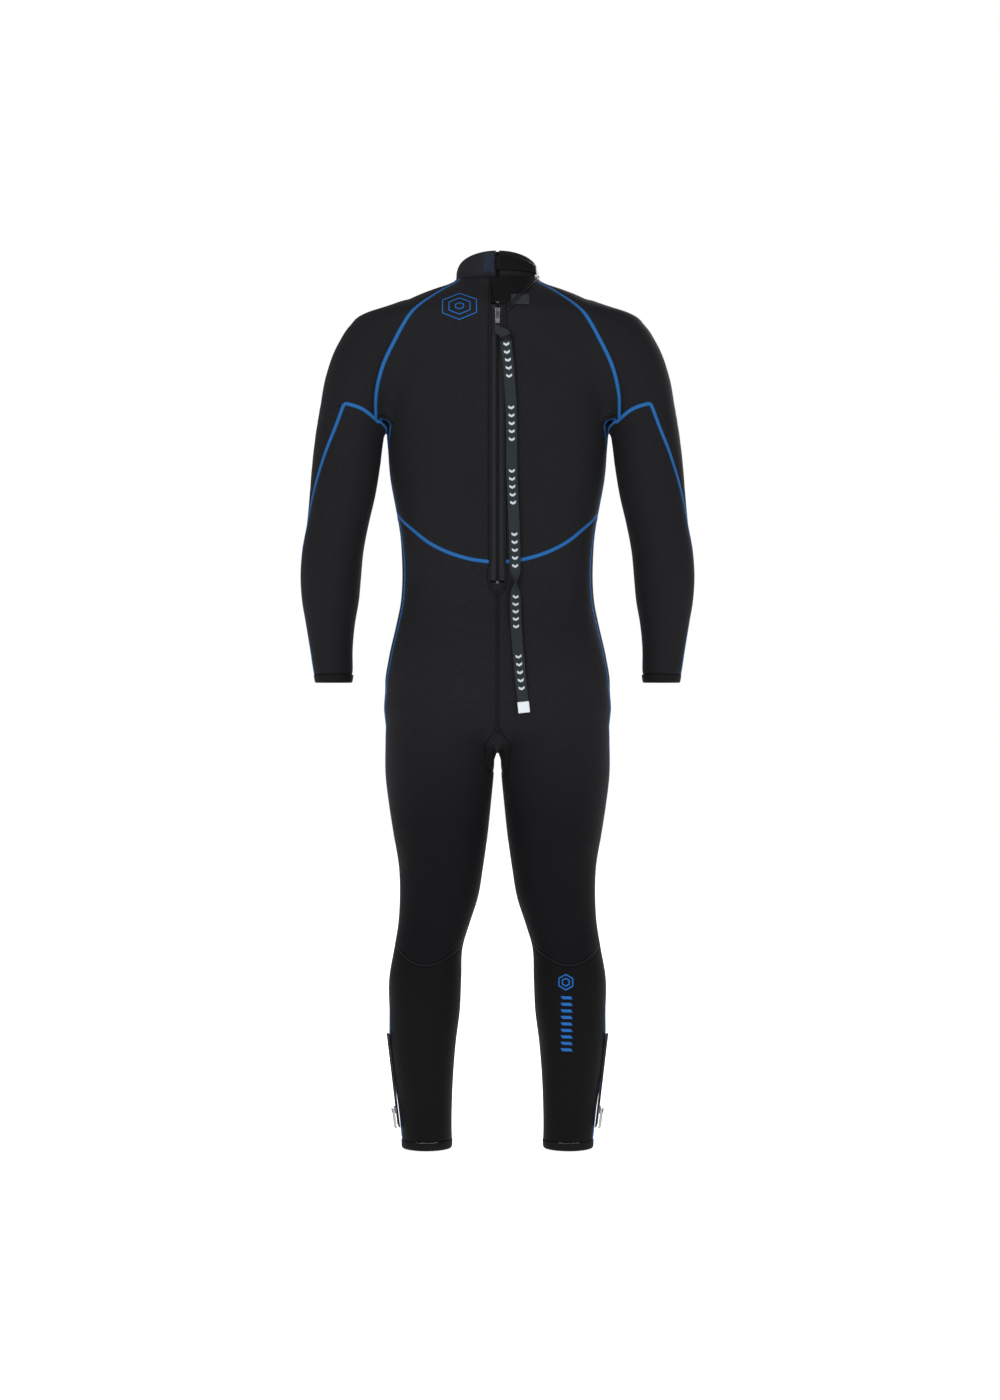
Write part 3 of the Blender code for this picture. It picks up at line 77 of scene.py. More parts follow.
# ---- the body form -------------------------------------------------------------------------
@dataclass(frozen=True)
class BodyForm:
    """The suit's shape on a body: a smooth union of stacked sections.

    Each limb is a table of height, centre x, centre y, half width and half depth.
    """

    armpit_z: float = 1.168
    crotch_z: float = 0.637
    power: float = 2.35
    torso_profile: tuple = (
        (0.640, 0.020, -0.030, 0.010), (0.652, 0.085, -0.075, 0.055), (0.668, 0.138, -0.106, 0.085),
        (0.700, 0.172, -0.124, 0.102), (0.740, 0.181, -0.130, 0.106), (0.790, 0.175, -0.126, 0.106),
        (0.840, 0.164, -0.110, 0.103), (0.880, 0.1565, -0.0950, 0.103), (0.910, 0.1545, -0.0901, 0.104),
        (0.950, 0.1550, -0.0914, 0.105), (0.990, 0.1580, -0.0928, 0.107), (1.030, 0.165, -0.0942, 0.110),
        (1.080, 0.174, -0.0959, 0.114), (1.130, 0.178, -0.0977, 0.115), (1.180, 0.183, -0.0994, 0.114),
        (1.230, 0.188, -0.1012, 0.108), (1.280, 0.190, -0.1029, 0.095), (1.318, 0.187, -0.1042, 0.080),
        (1.342, 0.174, -0.1045, 0.068), (1.360, 0.150, -0.0950, 0.056), (1.376, 0.116, -0.0800, 0.045),
        (1.392, 0.070, -0.0600, 0.032),
    )
    neck: tuple = (
        (1.330, 0.0, -0.008, 0.060, 0.060), (1.370, 0.0, -0.010, 0.064, 0.063),
        (1.395, 0.0, -0.012, 0.067, 0.064), (1.415, 0.0, -0.012, 0.065, 0.062),
        (1.445, 0.0, -0.010, 0.061, 0.060),
    )
    arm: tuple = (
        (0.735, 0.2655, 0.026, 0.0290, 0.0300), (0.770, 0.2680, 0.022, 0.0325, 0.0330),
        (0.800, 0.2700, 0.018, 0.0345, 0.0350), (0.845, 0.2712, 0.012, 0.0400, 0.0410),
        (0.880, 0.2708, 0.006, 0.0460, 0.0460), (0.915, 0.2700, 0.000, 0.0488, 0.0490),
        (0.960, 0.2660, -0.008, 0.0495, 0.0500), (1.005, 0.2575, -0.014, 0.0500, 0.0510),
        (1.050, 0.2500, -0.016, 0.0530, 0.0540), (1.095, 0.2445, -0.015, 0.0550, 0.0570),
        (1.145, 0.2385, -0.013, 0.0555, 0.0600), (1.195, 0.2280, -0.011, 0.0580, 0.0630),
        (1.245, 0.2130, -0.010, 0.0635, 0.0650), (1.296, 0.1960, -0.011, 0.0605, 0.0590),
        (1.322, 0.1850, -0.013, 0.0530, 0.0500), (1.342, 0.1700, -0.015, 0.0420, 0.0380),
        (1.356, 0.1500, -0.016, 0.0120, 0.0120),
    )
    leg: tuple = (
        (-0.010, 0.1130, -0.020, 0.0405, 0.0440), (0.030, 0.1150, -0.020, 0.0410, 0.0450),
        (0.067, 0.1168, -0.021, 0.0432, 0.0475), (0.118, 0.1196, -0.023, 0.0482, 0.0530),
        (0.170, 0.1205, -0.024, 0.0534, 0.0585), (0.221, 0.1175, -0.024, 0.0568, 0.0620),
        (0.272, 0.1164, -0.020, 0.0580, 0.0630), (0.323, 0.1110, -0.010, 0.0550, 0.0600),
        (0.358, 0.1030, -0.003, 0.0575, 0.0610), (0.400, 0.0950, 0.000, 0.0630, 0.0660),
        (0.450, 0.0915, 0.001, 0.0680, 0.0730), (0.500, 0.0920, 0.000, 0.0755, 0.0810),
        (0.550, 0.0932, -0.002, 0.0820, 0.0890), (0.600, 0.0936, -0.005, 0.0872, 0.0970),
        (0.640, 0.0925, -0.009, 0.0885, 0.1030), (0.690, 0.0880, -0.013, 0.0900, 0.1060),
        (0.760, 0.0740, -0.012, 0.0710, 0.0960), (0.830, 0.0650, -0.004, 0.0600, 0.0800),
    )

    def tables(self) -> dict:
        """Return each limb's table and slopes, worked out once."""
        if not TABLES:
            torso = tuple((z, 0.0, (f + b) / 2, w, (f - b) / 2) for z, w, b, f in self.torso_profile)
            for name, rows in (("torso", torso), ("neck", self.neck), ("arm", self.arm), ("leg", self.leg)):
                table = np.array(rows)
                TABLES[name] = (table[:, 0], table[:, 1:], np.gradient(table[:, 1:], table[:, 0], axis=0))
        return TABLES

    def section(self, limb: str, z: np.ndarray) -> np.ndarray:
        """Return centre x, centre y, half width and half depth at heights z.

        Args:
            limb: torso, neck, arm or leg.
            z: the heights.

        Returns:
            Four rows of values.
        """
        knots, values, slopes = self.tables()[limb]
        return hermite_rows(knots, values, slopes, np.clip(z, knots[0], knots[-1])).T

    def limb(self, points: np.ndarray, limb: str, side: np.ndarray | float = 1.0) -> np.ndarray:
        """Return the signed distance, nearly, from one limb; side -1 mirrors it."""
        z = points[:, 2]
        cx, cy, a, b = self.section(limb, z)
        p = self.power if limb == "torso" else 2.0
        ratio = (
            np.abs((points[:, 0] * side - cx) / a) ** p + np.abs((points[:, 1] - cy) / b) ** p
        ) ** (1 / p)
        knots = self.tables()[limb][0]
        beyond = np.maximum(z - knots[-1], 0) + np.maximum(knots[0] - z, 0)
        return (ratio - 1) * np.minimum(a, b) + 3 * beyond

    def distance(self, points: np.ndarray, region: Region) -> np.ndarray:
        """Return the signed distance from the whole body, with the arm or the trunk set apart."""
        z = points[:, 2]
        side = np.where(points[:, 0] < 0, -1.0, 1.0)
        apart = 0.06 * (1 - ramp(z, self.armpit_z - 0.022, self.armpit_z - 0.002))
        arm = self.limb(points, "arm", side) + (apart if region is Region.TORSO else 0)
        trunk = smooth_min(self.limb(points, "torso"), self.limb(points, "neck"), 0.020)
        trunk = trunk + (apart if region is Region.ARM else 0)
        other = self.limb(points, "leg", -side) + 0.06 * (1 - ramp(z, self.crotch_z - 0.05, self.crotch_z))
        legs = smooth_min(self.limb(points, "leg", side), other, 0.014)
        upper = smooth_min(trunk, arm, 0.010 + 0.030 * ramp(z, self.armpit_z, 1.26))
        return smooth_min(upper, legs, 0.004 + 0.026 * ramp(z, self.crotch_z, 0.70))

    def gradient(self, points: np.ndarray, region: Region) -> np.ndarray:
        """Return the distance's gradient at the points."""
        step = 0.0004
        shifts = np.concatenate([np.eye(3), -np.eye(3)]) * step
        values = self.distance((points[None] + shifts[:, None]).reshape(-1, 3), region).reshape(6, -1)
        return ((values[:3] - values[3:]) / (2 * step)).T

    def project(self, points: np.ndarray, region: Region, steps: int = 14) -> np.ndarray:
        """Move points onto the form by Newton steps of limited length."""
        points = np.array(points, dtype=float)
        for _ in range(steps):
            slope = self.gradient(points, region)
            size = np.maximum((slope**2).sum(1, keepdims=True), 0.05)
            move = -self.distance(points, region)[:, None] * slope / size
            length = np.linalg.norm(move, axis=1, keepdims=True)
            points += move * np.minimum(1, 0.02 / np.maximum(length, 1e-9))
        return points

    def face(self, x: float, z: float, facing: int, region: Region = Region.TORSO) -> np.ndarray:
        """Return the form's point seen from the back (-1) or the front (+1) at x, z."""
        depths = np.arange(0.30, -0.02, -0.004)
        for _ in range(4):
            column = np.stack([np.full_like(depths, x), facing * depths, np.full_like(depths, z)], axis=1)
            first = max(1, int(np.argmax(self.distance(column, region) < 0)))
            outside, inside = depths[first - 1], depths[first]
            depths = np.linspace(outside, inside, 40)
        return np.array([x, facing * inside, z])

    def back(self, x: float, z: float, region: Region = Region.TORSO) -> np.ndarray:
        """Return a point on the back of the form."""
        return self.face(x, z, -1, region)

    def front(self, x: float, z: float, region: Region = Region.TORSO) -> np.ndarray:
        """Return a point on the front of the form."""
        return self.face(x, z, 1, region)

    def rings(
        self, limb: str, z: np.ndarray, degrees: np.ndarray, region: Region = Region.TORSO
    ) -> np.ndarray:
        """Return points round a limb: 0 is the back, 90 the wearer's right, 180 the front."""
        cx, cy, a, b = self.section(limb, np.array(z, dtype=float))
        angle = np.radians(degrees)
        return self.project(np.stack([cx + a * np.sin(angle), cy - b * np.cos(angle), z], axis=1), region)

    def ring(self, limb: str, z: float, degrees: float, region: Region = Region.TORSO) -> np.ndarray:
        """Return one point round a limb."""
        return self.rings(limb, np.array([z]), np.array([degrees]), region)[0]


TABLES: dict = {}


def hermite_rows(knots: np.ndarray, values: np.ndarray, slopes: np.ndarray, at: np.ndarray) -> np.ndarray:
    """Interpolate rows of values smoothly at the places given."""
    low = np.clip(np.searchsorted(knots, at) - 1, 0, len(knots) - 2)
    shape = (-1,) + (1,) * (values.ndim - 1)
    span = (knots[low + 1] - knots[low]).reshape(shape)
    t = (at - knots[low]).reshape(shape) / span
    return (
        (2 * t**3 - 3 * t**2 + 1) * values[low] + (t**3 - 2 * t**2 + t) * span * slopes[low]
        + (3 * t**2 - 2 * t**3) * values[low + 1] + (t**3 - t**2) * span * slopes[low + 1]
    )


def smooth_min(first: np.ndarray, second: np.ndarray, width: np.ndarray | float) -> np.ndarray:
    """Blend two distances over a width."""
    h = np.clip(0.5 + 0.5 * (second - first) / width, 0, 1)
    return second * (1 - h) + first * h - width * h * (1 - h)


def ramp(value: np.ndarray, low: float, high: float) -> np.ndarray:
    """Return 0 below low, 1 above high and a straight ramp between them."""
    return np.clip((value - low) / (high - low), 0, 1)


def unit(vectors: np.ndarray) -> np.ndarray:
    """Return the vectors at length 1."""
    return vectors / np.maximum(np.linalg.norm(vectors, axis=-1, keepdims=True), 1e-12)


def smooth_curve(points: list, count: int = 240) -> np.ndarray:
    """Return a smooth curve through the points, evenly sampled by length."""
    points = np.array(points, dtype=float)
    chord = np.r_[0, np.cumsum(np.maximum(np.linalg.norm(np.diff(points, axis=0), axis=1), 1e-9))]
    if len(points) > 2:
        slopes = np.gradient(points, chord, axis=0)
    else:
        slopes = np.repeat((points[1:] - points[:1]) / chord[-1], 2, axis=0)
    return hermite_rows(chord, points, slopes, np.linspace(0, chord[-1], count))


def evenly(curve: np.ndarray, count: int) -> np.ndarray:
    """Return count + 1 rows evenly along a dense curve, by the length of its first three columns."""
    length = np.r_[0, np.cumsum(np.linalg.norm(np.diff(curve[:, :3], axis=0), axis=1))]
    at = np.linspace(0, length[-1], count + 1)
    return np.stack([np.interp(at, length, column) for column in curve.T], axis=1)


FORM = BodyForm()


def form_normals(grid: np.ndarray) -> np.ndarray:
    """Return the form's outward directions at a grid's points."""
    return unit(FORM.gradient(grid.reshape(-1, 3), Region.TORSO)).reshape(grid.shape)


@dataclass
class Seam:
    """A seam line on the form, with the surface normals that both its panels use."""

    curve: np.ndarray
    normals: np.ndarray

    @classmethod
    def through(cls, points: list, region: Region = Region.TORSO, normal: tuple | None = None) -> "Seam":
        """Make a seam through points; a normal given is used along its middle.

        Args:
            points: the points, in order.
            region: the part of the form it lies on.
            normal: the outward direction in a hollow where the form has none.

        Returns:
            The seam.
        """
        curve = smooth_curve(points)
        if normal is None:
            curve = FORM.project(curve, region)
            return cls(curve, unit(FORM.gradient(curve, region)))
        blend = np.sin(np.linspace(0, math.pi, len(curve)))[:, None] ** 0.5
        ends = unit(FORM.gradient(curve[[0, -1]], region))
        share = np.linspace(0, 1, len(curve))[:, None]
        mixed = ends[0] * (1 - share) + ends[1] * share
        return cls(curve, unit(mixed * (1 - blend) + np.array(normal) * blend))

    def sample(self, count: int) -> tuple[np.ndarray, np.ndarray]:
        """Return count + 1 points and normals along the seam."""
        both = evenly(np.concatenate([self.curve, self.normals], axis=1), count)
        return both[:, :3], unit(both[:, 3:])

    def part(self, start: float, end: float) -> "Seam":
        """Return the stretch between two shares of the seam's length."""
        both = evenly(np.concatenate([self.curve, self.normals], axis=1), 400)
        cut = both[int(round(start * 400)):int(round(end * 400)) + 1]
        return Seam(cut[:, :3], unit(cut[:, 3:]))

    def reversed(self) -> "Seam":
        """Return the same seam run the other way."""
        return Seam(self.curve[::-1], self.normals[::-1])

    def length(self) -> float:
        """Return the seam's length."""
        return float(np.linalg.norm(np.diff(self.curve, axis=0), axis=1).sum())


def chain(*seams: Seam) -> Seam:
    """Join seams end to end into one."""
    points = np.concatenate([seams[0].curve] + [seam.curve[1:] for seam in seams[1:]])
    normals = np.concatenate([seams[0].normals] + [seam.normals[1:] for seam in seams[1:]])
    return Seam(points, normals)


# ---- the cut: where the seams run ----------------------------------------------------------
@dataclass
class Cut:
    """The suit's cut: heights and seam lines of the wearer's right side."""

    knee_z: float = 0.362
    knee_reach: float = 0.064
    knee_arc: float = 0.030
    hem_height: float = 0.013
    wrist_z: float = 0.748
    ankle_z: float = 0.0
    zip_half: float = 0.0122
    zip_foot_z: float = 0.890
    collar_base: tuple = (1.3945, 1.3870, 1.3560)
    collar_rim: tuple = (1.4360, 1.4140, 1.3900)
    collar_end: float = 2.5
    zip_side_degrees: float = 10.5
    raglan_back_degrees: float = 62.0
    raglan_front_degrees: float = 122.0
    ankle_zip_degrees: float = 74.0
    arm_seams: tuple = (
        (0.730, 72, 212), (0.785, 76, 212), (0.850, 88, 212), (0.912, 92, 212), (0.970, 85, 212),
        (1.034, 66, 212), (1.096, 43, 214), (1.151, 24, 226), (1.166, 6, 224), (1.205, -30, 210),
        (1.250, -25, 205), (1.300, -32, 212),
    )
    side_seam: tuple = ((1.120, 80), (1.070, 79), (1.020, 77), (0.980, 75), (0.945, 72), (0.900, 72),
                        (0.850, 72), (0.780, 73), (0.710, 77))
    side_seam_leg: tuple = ((0.640, 84), (0.580, 88), (0.500, 88), (0.450, 88))
    seams: dict = field(default_factory=dict)

    def neck_height(self, heights: tuple, degrees: float) -> float:
        """Return a height round the neck from its values at the back, the side and the front."""
        back_z, side_z, front_z = heights
        c = math.cos(math.radians(degrees))
        return side_z + (back_z - front_z) / 2 * c + ((back_z + front_z) / 2 - side_z) * c * c

    def neck_line(self, heights: tuple, start: float, end: float, steps: int = 6) -> list:
        """Return points round the neck between two angles."""
        return [
            FORM.ring("neck", self.neck_height(heights, a), a) for a in np.linspace(start, end, steps + 1)
        ]

    def arm_seam(self, z: float, share: float) -> float:
        """Return the degrees round the arm, from its back seam (0) to its front seam (1)."""
        table = np.array(self.arm_seams, dtype=float)
        first = np.interp(z, table[:, 0], table[:, 1])
        return first + (np.interp(z, table[:, 0], table[:, 2]) - first) * share

    def arm_line(self, heights: tuple, share: float) -> list:
        """Return points down the outer sleeve at a share of its width."""
        return [FORM.ring("arm", z, self.arm_seam(z, share), Region.ARM) for z in heights]

    def under_line(self, heights: tuple, share: float) -> list:
        """Return points down the inner sleeve at a share of its width."""
        points = []
        for z in heights:
            first = self.arm_seam(z, 0.0)
            second = self.arm_seam(z, 1.0) - 360.0
            points.append(FORM.ring("arm", z, first + (second - first) * share, Region.ARM))
        return points

    def knee_line(self, start: float, end: float) -> list:
        """Return the dipping seam below a knee."""
        corner = self.knee_z - self.knee_reach + self.knee_arc
        points = []
        for d in np.linspace(start, end, 13):
            points.append(FORM.ring("leg", corner - self.knee_arc * math.cos(math.radians(d)) ** 2, d))
        return points

    def draw(self) -> None:
        """Draw every seam."""
        s = self.seams
        f = FORM
        armpit_back = f.back(0.194, f.armpit_z)
        armpit_front = f.front(0.188, f.armpit_z)
        apex = f.back(0.244, f.armpit_z + 0.025, Region.ARM)
        waist = f.ring("torso", 1.020, 77)
        base = self.collar_base
        s["neck_end"] = Seam.through(self.neck_line(base, self.collar_end, self.zip_side_degrees, 2))
        s["neck_back"] = Seam.through(self.neck_line(base, self.zip_side_degrees, self.raglan_back_degrees))
        s["neck_side"] = Seam.through(
            self.neck_line(base, self.raglan_back_degrees, self.raglan_front_degrees)
        )
        s["neck_front"] = Seam.through(self.neck_line(base, self.raglan_front_degrees, 180))
        s["rim"] = Seam.through(self.neck_line(self.collar_rim, self.collar_end, 180, 12))
        s["raglan_back"] = Seam.through(
            [s["neck_side"].curve[0], f.back(0.106, 1.362), f.back(0.138, 1.335), f.back(0.163, 1.293),
             f.back(0.183, 1.250), f.back(0.193, 1.208), armpit_back])
        s["raglan_front"] = Seam.through(
            [s["neck_front"].curve[0], f.front(0.100, 1.335), f.front(0.130, 1.305), f.front(0.155, 1.270),
             f.front(0.173, 1.230), f.front(0.185, 1.195), armpit_front])
        s["armpit_back"] = Seam.through(
            [armpit_back, f.back(0.216, f.armpit_z + 0.016, Region.ARM), apex], Region.ARM
        )
        middle = 0.5 * (armpit_back + armpit_front)
        hollow = np.array([0.181, middle[1], f.armpit_z - 0.020])
        quarter = np.array([0.0, 0.55 * (armpit_front[1] - middle[1]), 0.007])
        s["armpit_under"] = Seam.through(
            [armpit_back, hollow - quarter * (1, 1, -1), hollow, hollow + quarter, armpit_front], normal=(0,
            0, -1))
        cuff = self.wrist_z + self.hem_height
        heights = (1.151, 1.120, 1.096, 1.060, 1.027, 0.985, 0.940, 0.900, 0.850, 0.800, cuff)
        s["arm_back"] = Seam.through([apex] + self.arm_line(heights, 0), Region.ARM)
        s["arm_front"] = Seam.through([armpit_front] + self.arm_line(heights, 1), Region.ARM)
        steps = np.linspace(0, 1, 13)
        s["cuff_outer"] = Seam.through([self.arm_line((cuff,), k)[0] for k in steps], Region.ARM)
        s["cuff_inner"] = Seam.through([self.under_line((cuff,), k)[0] for k in steps], Region.ARM)
        s["side_upper"] = Seam.through(
            [armpit_back] + [f.ring("torso", z, d) for z, d in self.side_seam[:2]] + [waist]
        )
        lower = [f.ring("torso", z, d) for z, d in self.side_seam[3:]]
        lower += [f.ring("leg", z, d) for z, d in self.side_seam_leg]
        knee_top = self.knee_z + self.knee_reach
        s["side_lower"] = Seam.through([waist] + lower + [f.ring("leg", knee_top, 88)])
        zip_foot = f.back(self.zip_half, 0.939)
        s["waist_back"] = Seam.through(
            [waist, f.back(0.137, 0.993), f.back(0.107, 0.969), f.back(0.072, 0.952), f.back(0.041, 0.943),
            zip_foot])
        s["waist_front"] = Seam.through(
            [waist, f.ring("torso", 1.008, 95), f.ring("torso", 0.994, 115), f.ring("torso", 0.977, 137),
             f.ring("torso", 0.963, 158), f.front(0, 0.957)])
        zip_top = f.ring("neck", self.neck_height(base, self.zip_side_degrees), self.zip_side_degrees)
        s["zip_side"] = Seam.through(
            [zip_top, f.back(self.zip_half, 1.370)] + [f.back(self.zip_half, z) for z in np.linspace(1.340,
            0.939, 9)])
        end = self.zip_foot_z
        s["zip_foot"] = Seam.through(
            [zip_foot, f.back(self.zip_half, end + 0.014), f.back(0.60 * self.zip_half, end + 0.002),
            f.back(0, end)])
        s["centre_back"] = Seam.through([f.back(0, z) for z in np.linspace(end, 0.676, 7)])
        s["tip_back"] = Seam.through([f.back(0, 0.676), f.back(0.0035, 0.668)])
        thigh = f.ring("leg", 0.600, -90)
        s["gusset_back"] = Seam.through(
            [f.back(0.0035, 0.668), f.back(0.013, 0.657), f.back(0.0195, 0.643), f.ring("leg", 0.614, -60),
            thigh])
        s["tip_front"] = Seam.through([f.front(0, 0.676), f.front(0.0035, 0.668)])
        s["gusset_front"] = Seam.through(
            [f.front(0.0035, 0.668), f.front(0.013, 0.657), f.front(0.0195, 0.643), f.ring("leg", 0.614,
            -120), thigh])
        s["centre_chest"] = Seam.through(
            [f.ring("neck", base[2], 180)] + [f.front(0, z) for z in np.linspace(1.320, 0.957, 7)]
        )
        s["centre_belly"] = Seam.through([f.front(0, z) for z in np.linspace(0.957, 0.676, 7)])
        s["inner_thigh"] = Seam.through(
            [thigh] + [f.ring("leg", z, -90) for z in (0.560, 0.510, 0.460, knee_top)]
        )
        corner = self.knee_z - self.knee_reach + self.knee_arc
        s["knee_outer"] = Seam.through([f.ring("leg", z, 88) for z in (knee_top, self.knee_z, corner)])
        s["knee_inner"] = Seam.through([f.ring("leg", z, -90) for z in (knee_top, self.knee_z, corner)])
        s["knee_top_front"] = Seam.through([f.ring("leg", knee_top, d) for d in np.linspace(270, 88, 13)])
        s["knee_foot_back"] = Seam.through(self.knee_line(-90, 88))
        s["knee_foot_front"] = Seam.through(self.knee_line(270, 88))
        hem = self.ankle_z + self.hem_height
        a = self.ankle_zip_degrees
        s["shin_outer"] = Seam.through(
            [f.ring("leg", corner, 88), f.ring("leg", 0.260, 85), f.ring("leg", 0.190, a + 2), f.ring("leg",
            0.120, a),
             f.ring("leg", 0.07, a), f.ring("leg", hem, a)])
        s["shin_inner"] = Seam.through([f.ring("leg", z, -90) for z in (corner, 0.27, 0.2, 0.13, 0.07, hem)])
        s["hem_back"] = Seam.through([f.ring("leg", hem, d) for d in np.linspace(-90, a, 13)])
        s["hem_front"] = Seam.through([f.ring("leg", hem, d) for d in np.linspace(270, a, 13)])


# ---- materials -----------------------------------------------------------------------------
def group_sockets(group: bpy.types.NodeTree, inputs: dict, outputs: tuple) -> None:
    """Give a node group its float inputs, with defaults, and its float outputs."""
    for name, value in inputs.items():
        socket = group.interface.new_socket(name, in_out="INPUT", socket_type="NodeSocketFloat")
        socket.default_value = value
    for name in outputs:
        group.interface.new_socket(name, in_out="OUTPUT", socket_type="NodeSocketFloat")


def add_node(tree: bpy.types.NodeTree, kind: str, place: tuple, **values: object) -> bpy.types.Node:
    """Add a node and set its properties or input sockets.

    Args:
        tree: the node tree.
        kind: the node's type name.
        place: where it is drawn.
        values: properties, or input sockets by name with spaces as underscores.

    Returns:
        The node.
    """
    node = tree.nodes.new(kind)
    node.location = place
    for key, value in values.items():
        if hasattr(node, key):
            setattr(node, key, value)
        else:
            node.inputs[key.replace("_", " ")].default_value = value
    return node


def math_node(
    tree: bpy.types.NodeTree, operation: str, place: tuple, first: object, second: object = None
) -> object:
    """Add a Math node fed by sockets or numbers and return its output."""
    node = add_node(tree, "ShaderNodeMath", place, operation=operation)
    for index, value in enumerate((first, second)):
        if isinstance(value, (int, float)):
            node.inputs[index].default_value = value
        elif value is not None:
            tree.links.new(value, node.inputs[index])
    return node.outputs[0]


def knit_group() -> bpy.types.NodeTree:
    """Build the jersey knit: a fine grain of loops with soft wear, from Object coordinates."""
    group = bpy.data.node_groups.new("jersey_knit", "ShaderNodeTree")
    group_sockets(group, {"Loops": 900.0, "Patches": 9.0}, ("Grain", "Patch"))
    inside = add_node(group, "NodeGroupInput", (-900, 0))
    out = add_node(group, "NodeGroupOutput", (500, 0))
    where = add_node(group, "ShaderNodeTexCoord", (-900, -200))
    loops = add_node(group, "ShaderNodeTexVoronoi", (-500, 100), feature="F1", Randomness=0.55)
    fine = add_node(group, "ShaderNodeTexNoise", (-500, -150), Detail=3.0, Roughness=0.6)
    patch = add_node(group, "ShaderNodeTexNoise", (-500, -400), Detail=2.0, Roughness=0.5)
    for node in (loops, fine, patch):
        group.links.new(where.outputs["Object"], node.inputs["Vector"])
    group.links.new(inside.outputs["Loops"], loops.inputs["Scale"])
    group.links.new(
        math_node(group, "MULTIPLY", (-700, -150), inside.outputs["Loops"], 0.35), fine.inputs["Scale"]
    )
    group.links.new(inside.outputs["Patches"], patch.inputs["Scale"])
    blend = math_node(group, "MULTIPLY", (-200, 0), loops.outputs["Distance"], 0.7)
    grain = math_node(
        group, "ADD", (0, 0), blend, math_node(group, "MULTIPLY", (-200, -150), fine.outputs["Fac"], 0.6)
    )
    group.links.new(grain, out.inputs["Grain"])
    group.links.new(patch.outputs["Fac"], out.inputs["Patch"])
    return group


def thread_group() -> bpy.types.NodeTree:
    """Build the flatlock thread pattern from UV: slanted cover threads and two needle lines."""
    group = bpy.data.node_groups.new("flatlock_thread", "ShaderNodeTree")
    group_sockets(group, {"Stitches": 330.0, "Slant": 0.9}, ("Thread", "Edge"))
    inside = add_node(group, "NodeGroupInput", (-1100, 0))
    out = add_node(group, "NodeGroupOutput", (600, 0))
    uv = add_node(group, "ShaderNodeUVMap", (-1100, -200), uv_map="band")
    split = add_node(group, "ShaderNodeSeparateXYZ", (-900, -200))
    group.links.new(uv.outputs[0], split.inputs[0])
    across = math_node(
        group, "ABSOLUTE", (-500, -300), math_node(group, "SUBTRACT", (-700, -300), split.outputs[1], 0.5)
    )
    slant = math_node(group, "MULTIPLY", (-500, -100), across, inside.outputs["Slant"])
    along = math_node(group, "MULTIPLY", (-500, 100), split.outputs[0], inside.outputs["Stitches"])
    phase = math_node(
        group, "MULTIPLY", (-150, 0), math_node(group, "ADD", (-300, 0), along, slant), 2 * math.pi
    )
    wave = math_node(group, "SINE", (0, 0), phase)
    thread = math_node(group, "MULTIPLY", (150, 0), math_node(group, "ADD", (80, 0), wave, 1.0), 0.5)
    group.links.new(thread, out.inputs["Thread"])
    group.links.new(math_node(group, "MULTIPLY", (150, -250), across, 2.0), out.inputs["Edge"])
    return group


def weave_group() -> bpy.types.NodeTree:
    """Build a plain weave from UV, for webbing and zip tape."""
    group = bpy.data.node_groups.new("plain_weave", "ShaderNodeTree")
    group_sockets(group, {"Along": 700.0, "Across": 22.0}, ("Weave", "Ridge"))
    inside = add_node(group, "NodeGroupInput", (-1100, 0))
    out = add_node(group, "NodeGroupOutput", (600, 0))
    uv = add_node(group, "ShaderNodeUVMap", (-1100, -200), uv_map="band")
    split = add_node(group, "ShaderNodeSeparateXYZ", (-900, -200))
    group.links.new(uv.outputs[0], split.inputs[0])
    waves = []
    for index, name in enumerate(("Along", "Across")):
        scaled = math_node(
            group, "MULTIPLY", (-600, -200 * index), split.outputs[index], inside.outputs[name]
        )
        waves.append(
            math_node(
                group, "SINE", (-400, -200 * index),
                math_node(group, "MULTIPLY", (-500, -200 * index), scaled, 2 * math.pi)
            )
        )
    product = math_node(group, "MULTIPLY", (-200, 0), waves[0], waves[1])
    group.links.new(
        math_node(group, "ADD", (200, 0), math_node(group, "MULTIPLY", (0, 0), product, 0.5), 0.5),
        out.inputs["Weave"]
    )
    group.links.new(
        math_node(group, "ADD", (200, -200), math_node(group, "MULTIPLY", (0, -200), waves[1], 0.5), 0.5),
        out.inputs["Ridge"]
    )
    return group


# ---- finishes ------------------------------------------------------------------------------
def surface(name: str, colour: tuple, roughness: float, metallic: float = 0.0, sheen: float = 0.0) -> tuple:
    """Make a material with a Principled shader at plain starting values.

    Args:
        name: the material's name.
        colour: its linear base colour.
        roughness: its roughness.
        metallic: 1 for metal.
        sheen: the weight of its fuzz.

    Returns:
        The material, its node tree and its shader node.
    """
    material = bpy.data.materials.new(name)
    material.use_nodes = True
    tree = material.node_tree
    shader = tree.nodes["Principled BSDF"]
    shader.inputs["Base Color"].default_value = (*colour, 1)
    shader.inputs["Roughness"].default_value = roughness
    shader.inputs["Metallic"].default_value = metallic
    shader.inputs["Sheen Weight"].default_value = sheen
    shader.inputs["Sheen Roughness"].default_value = 0.45
    shader.inputs["Specular IOR Level"].default_value = 0.5 if metallic else 0.05
    material.diffuse_color = (*colour, 1)
    return material, tree, shader


def placed_group(
    tree: bpy.types.NodeTree, group: bpy.types.NodeTree, place: tuple, **values: float
) -> bpy.types.Node:
    """Place a node group in a material with its own values."""
    node = tree.nodes.new("ShaderNodeGroup")
    node.node_tree = group
    node.location = place
    for name, value in values.items():
        node.inputs[name].default_value = value
    return node


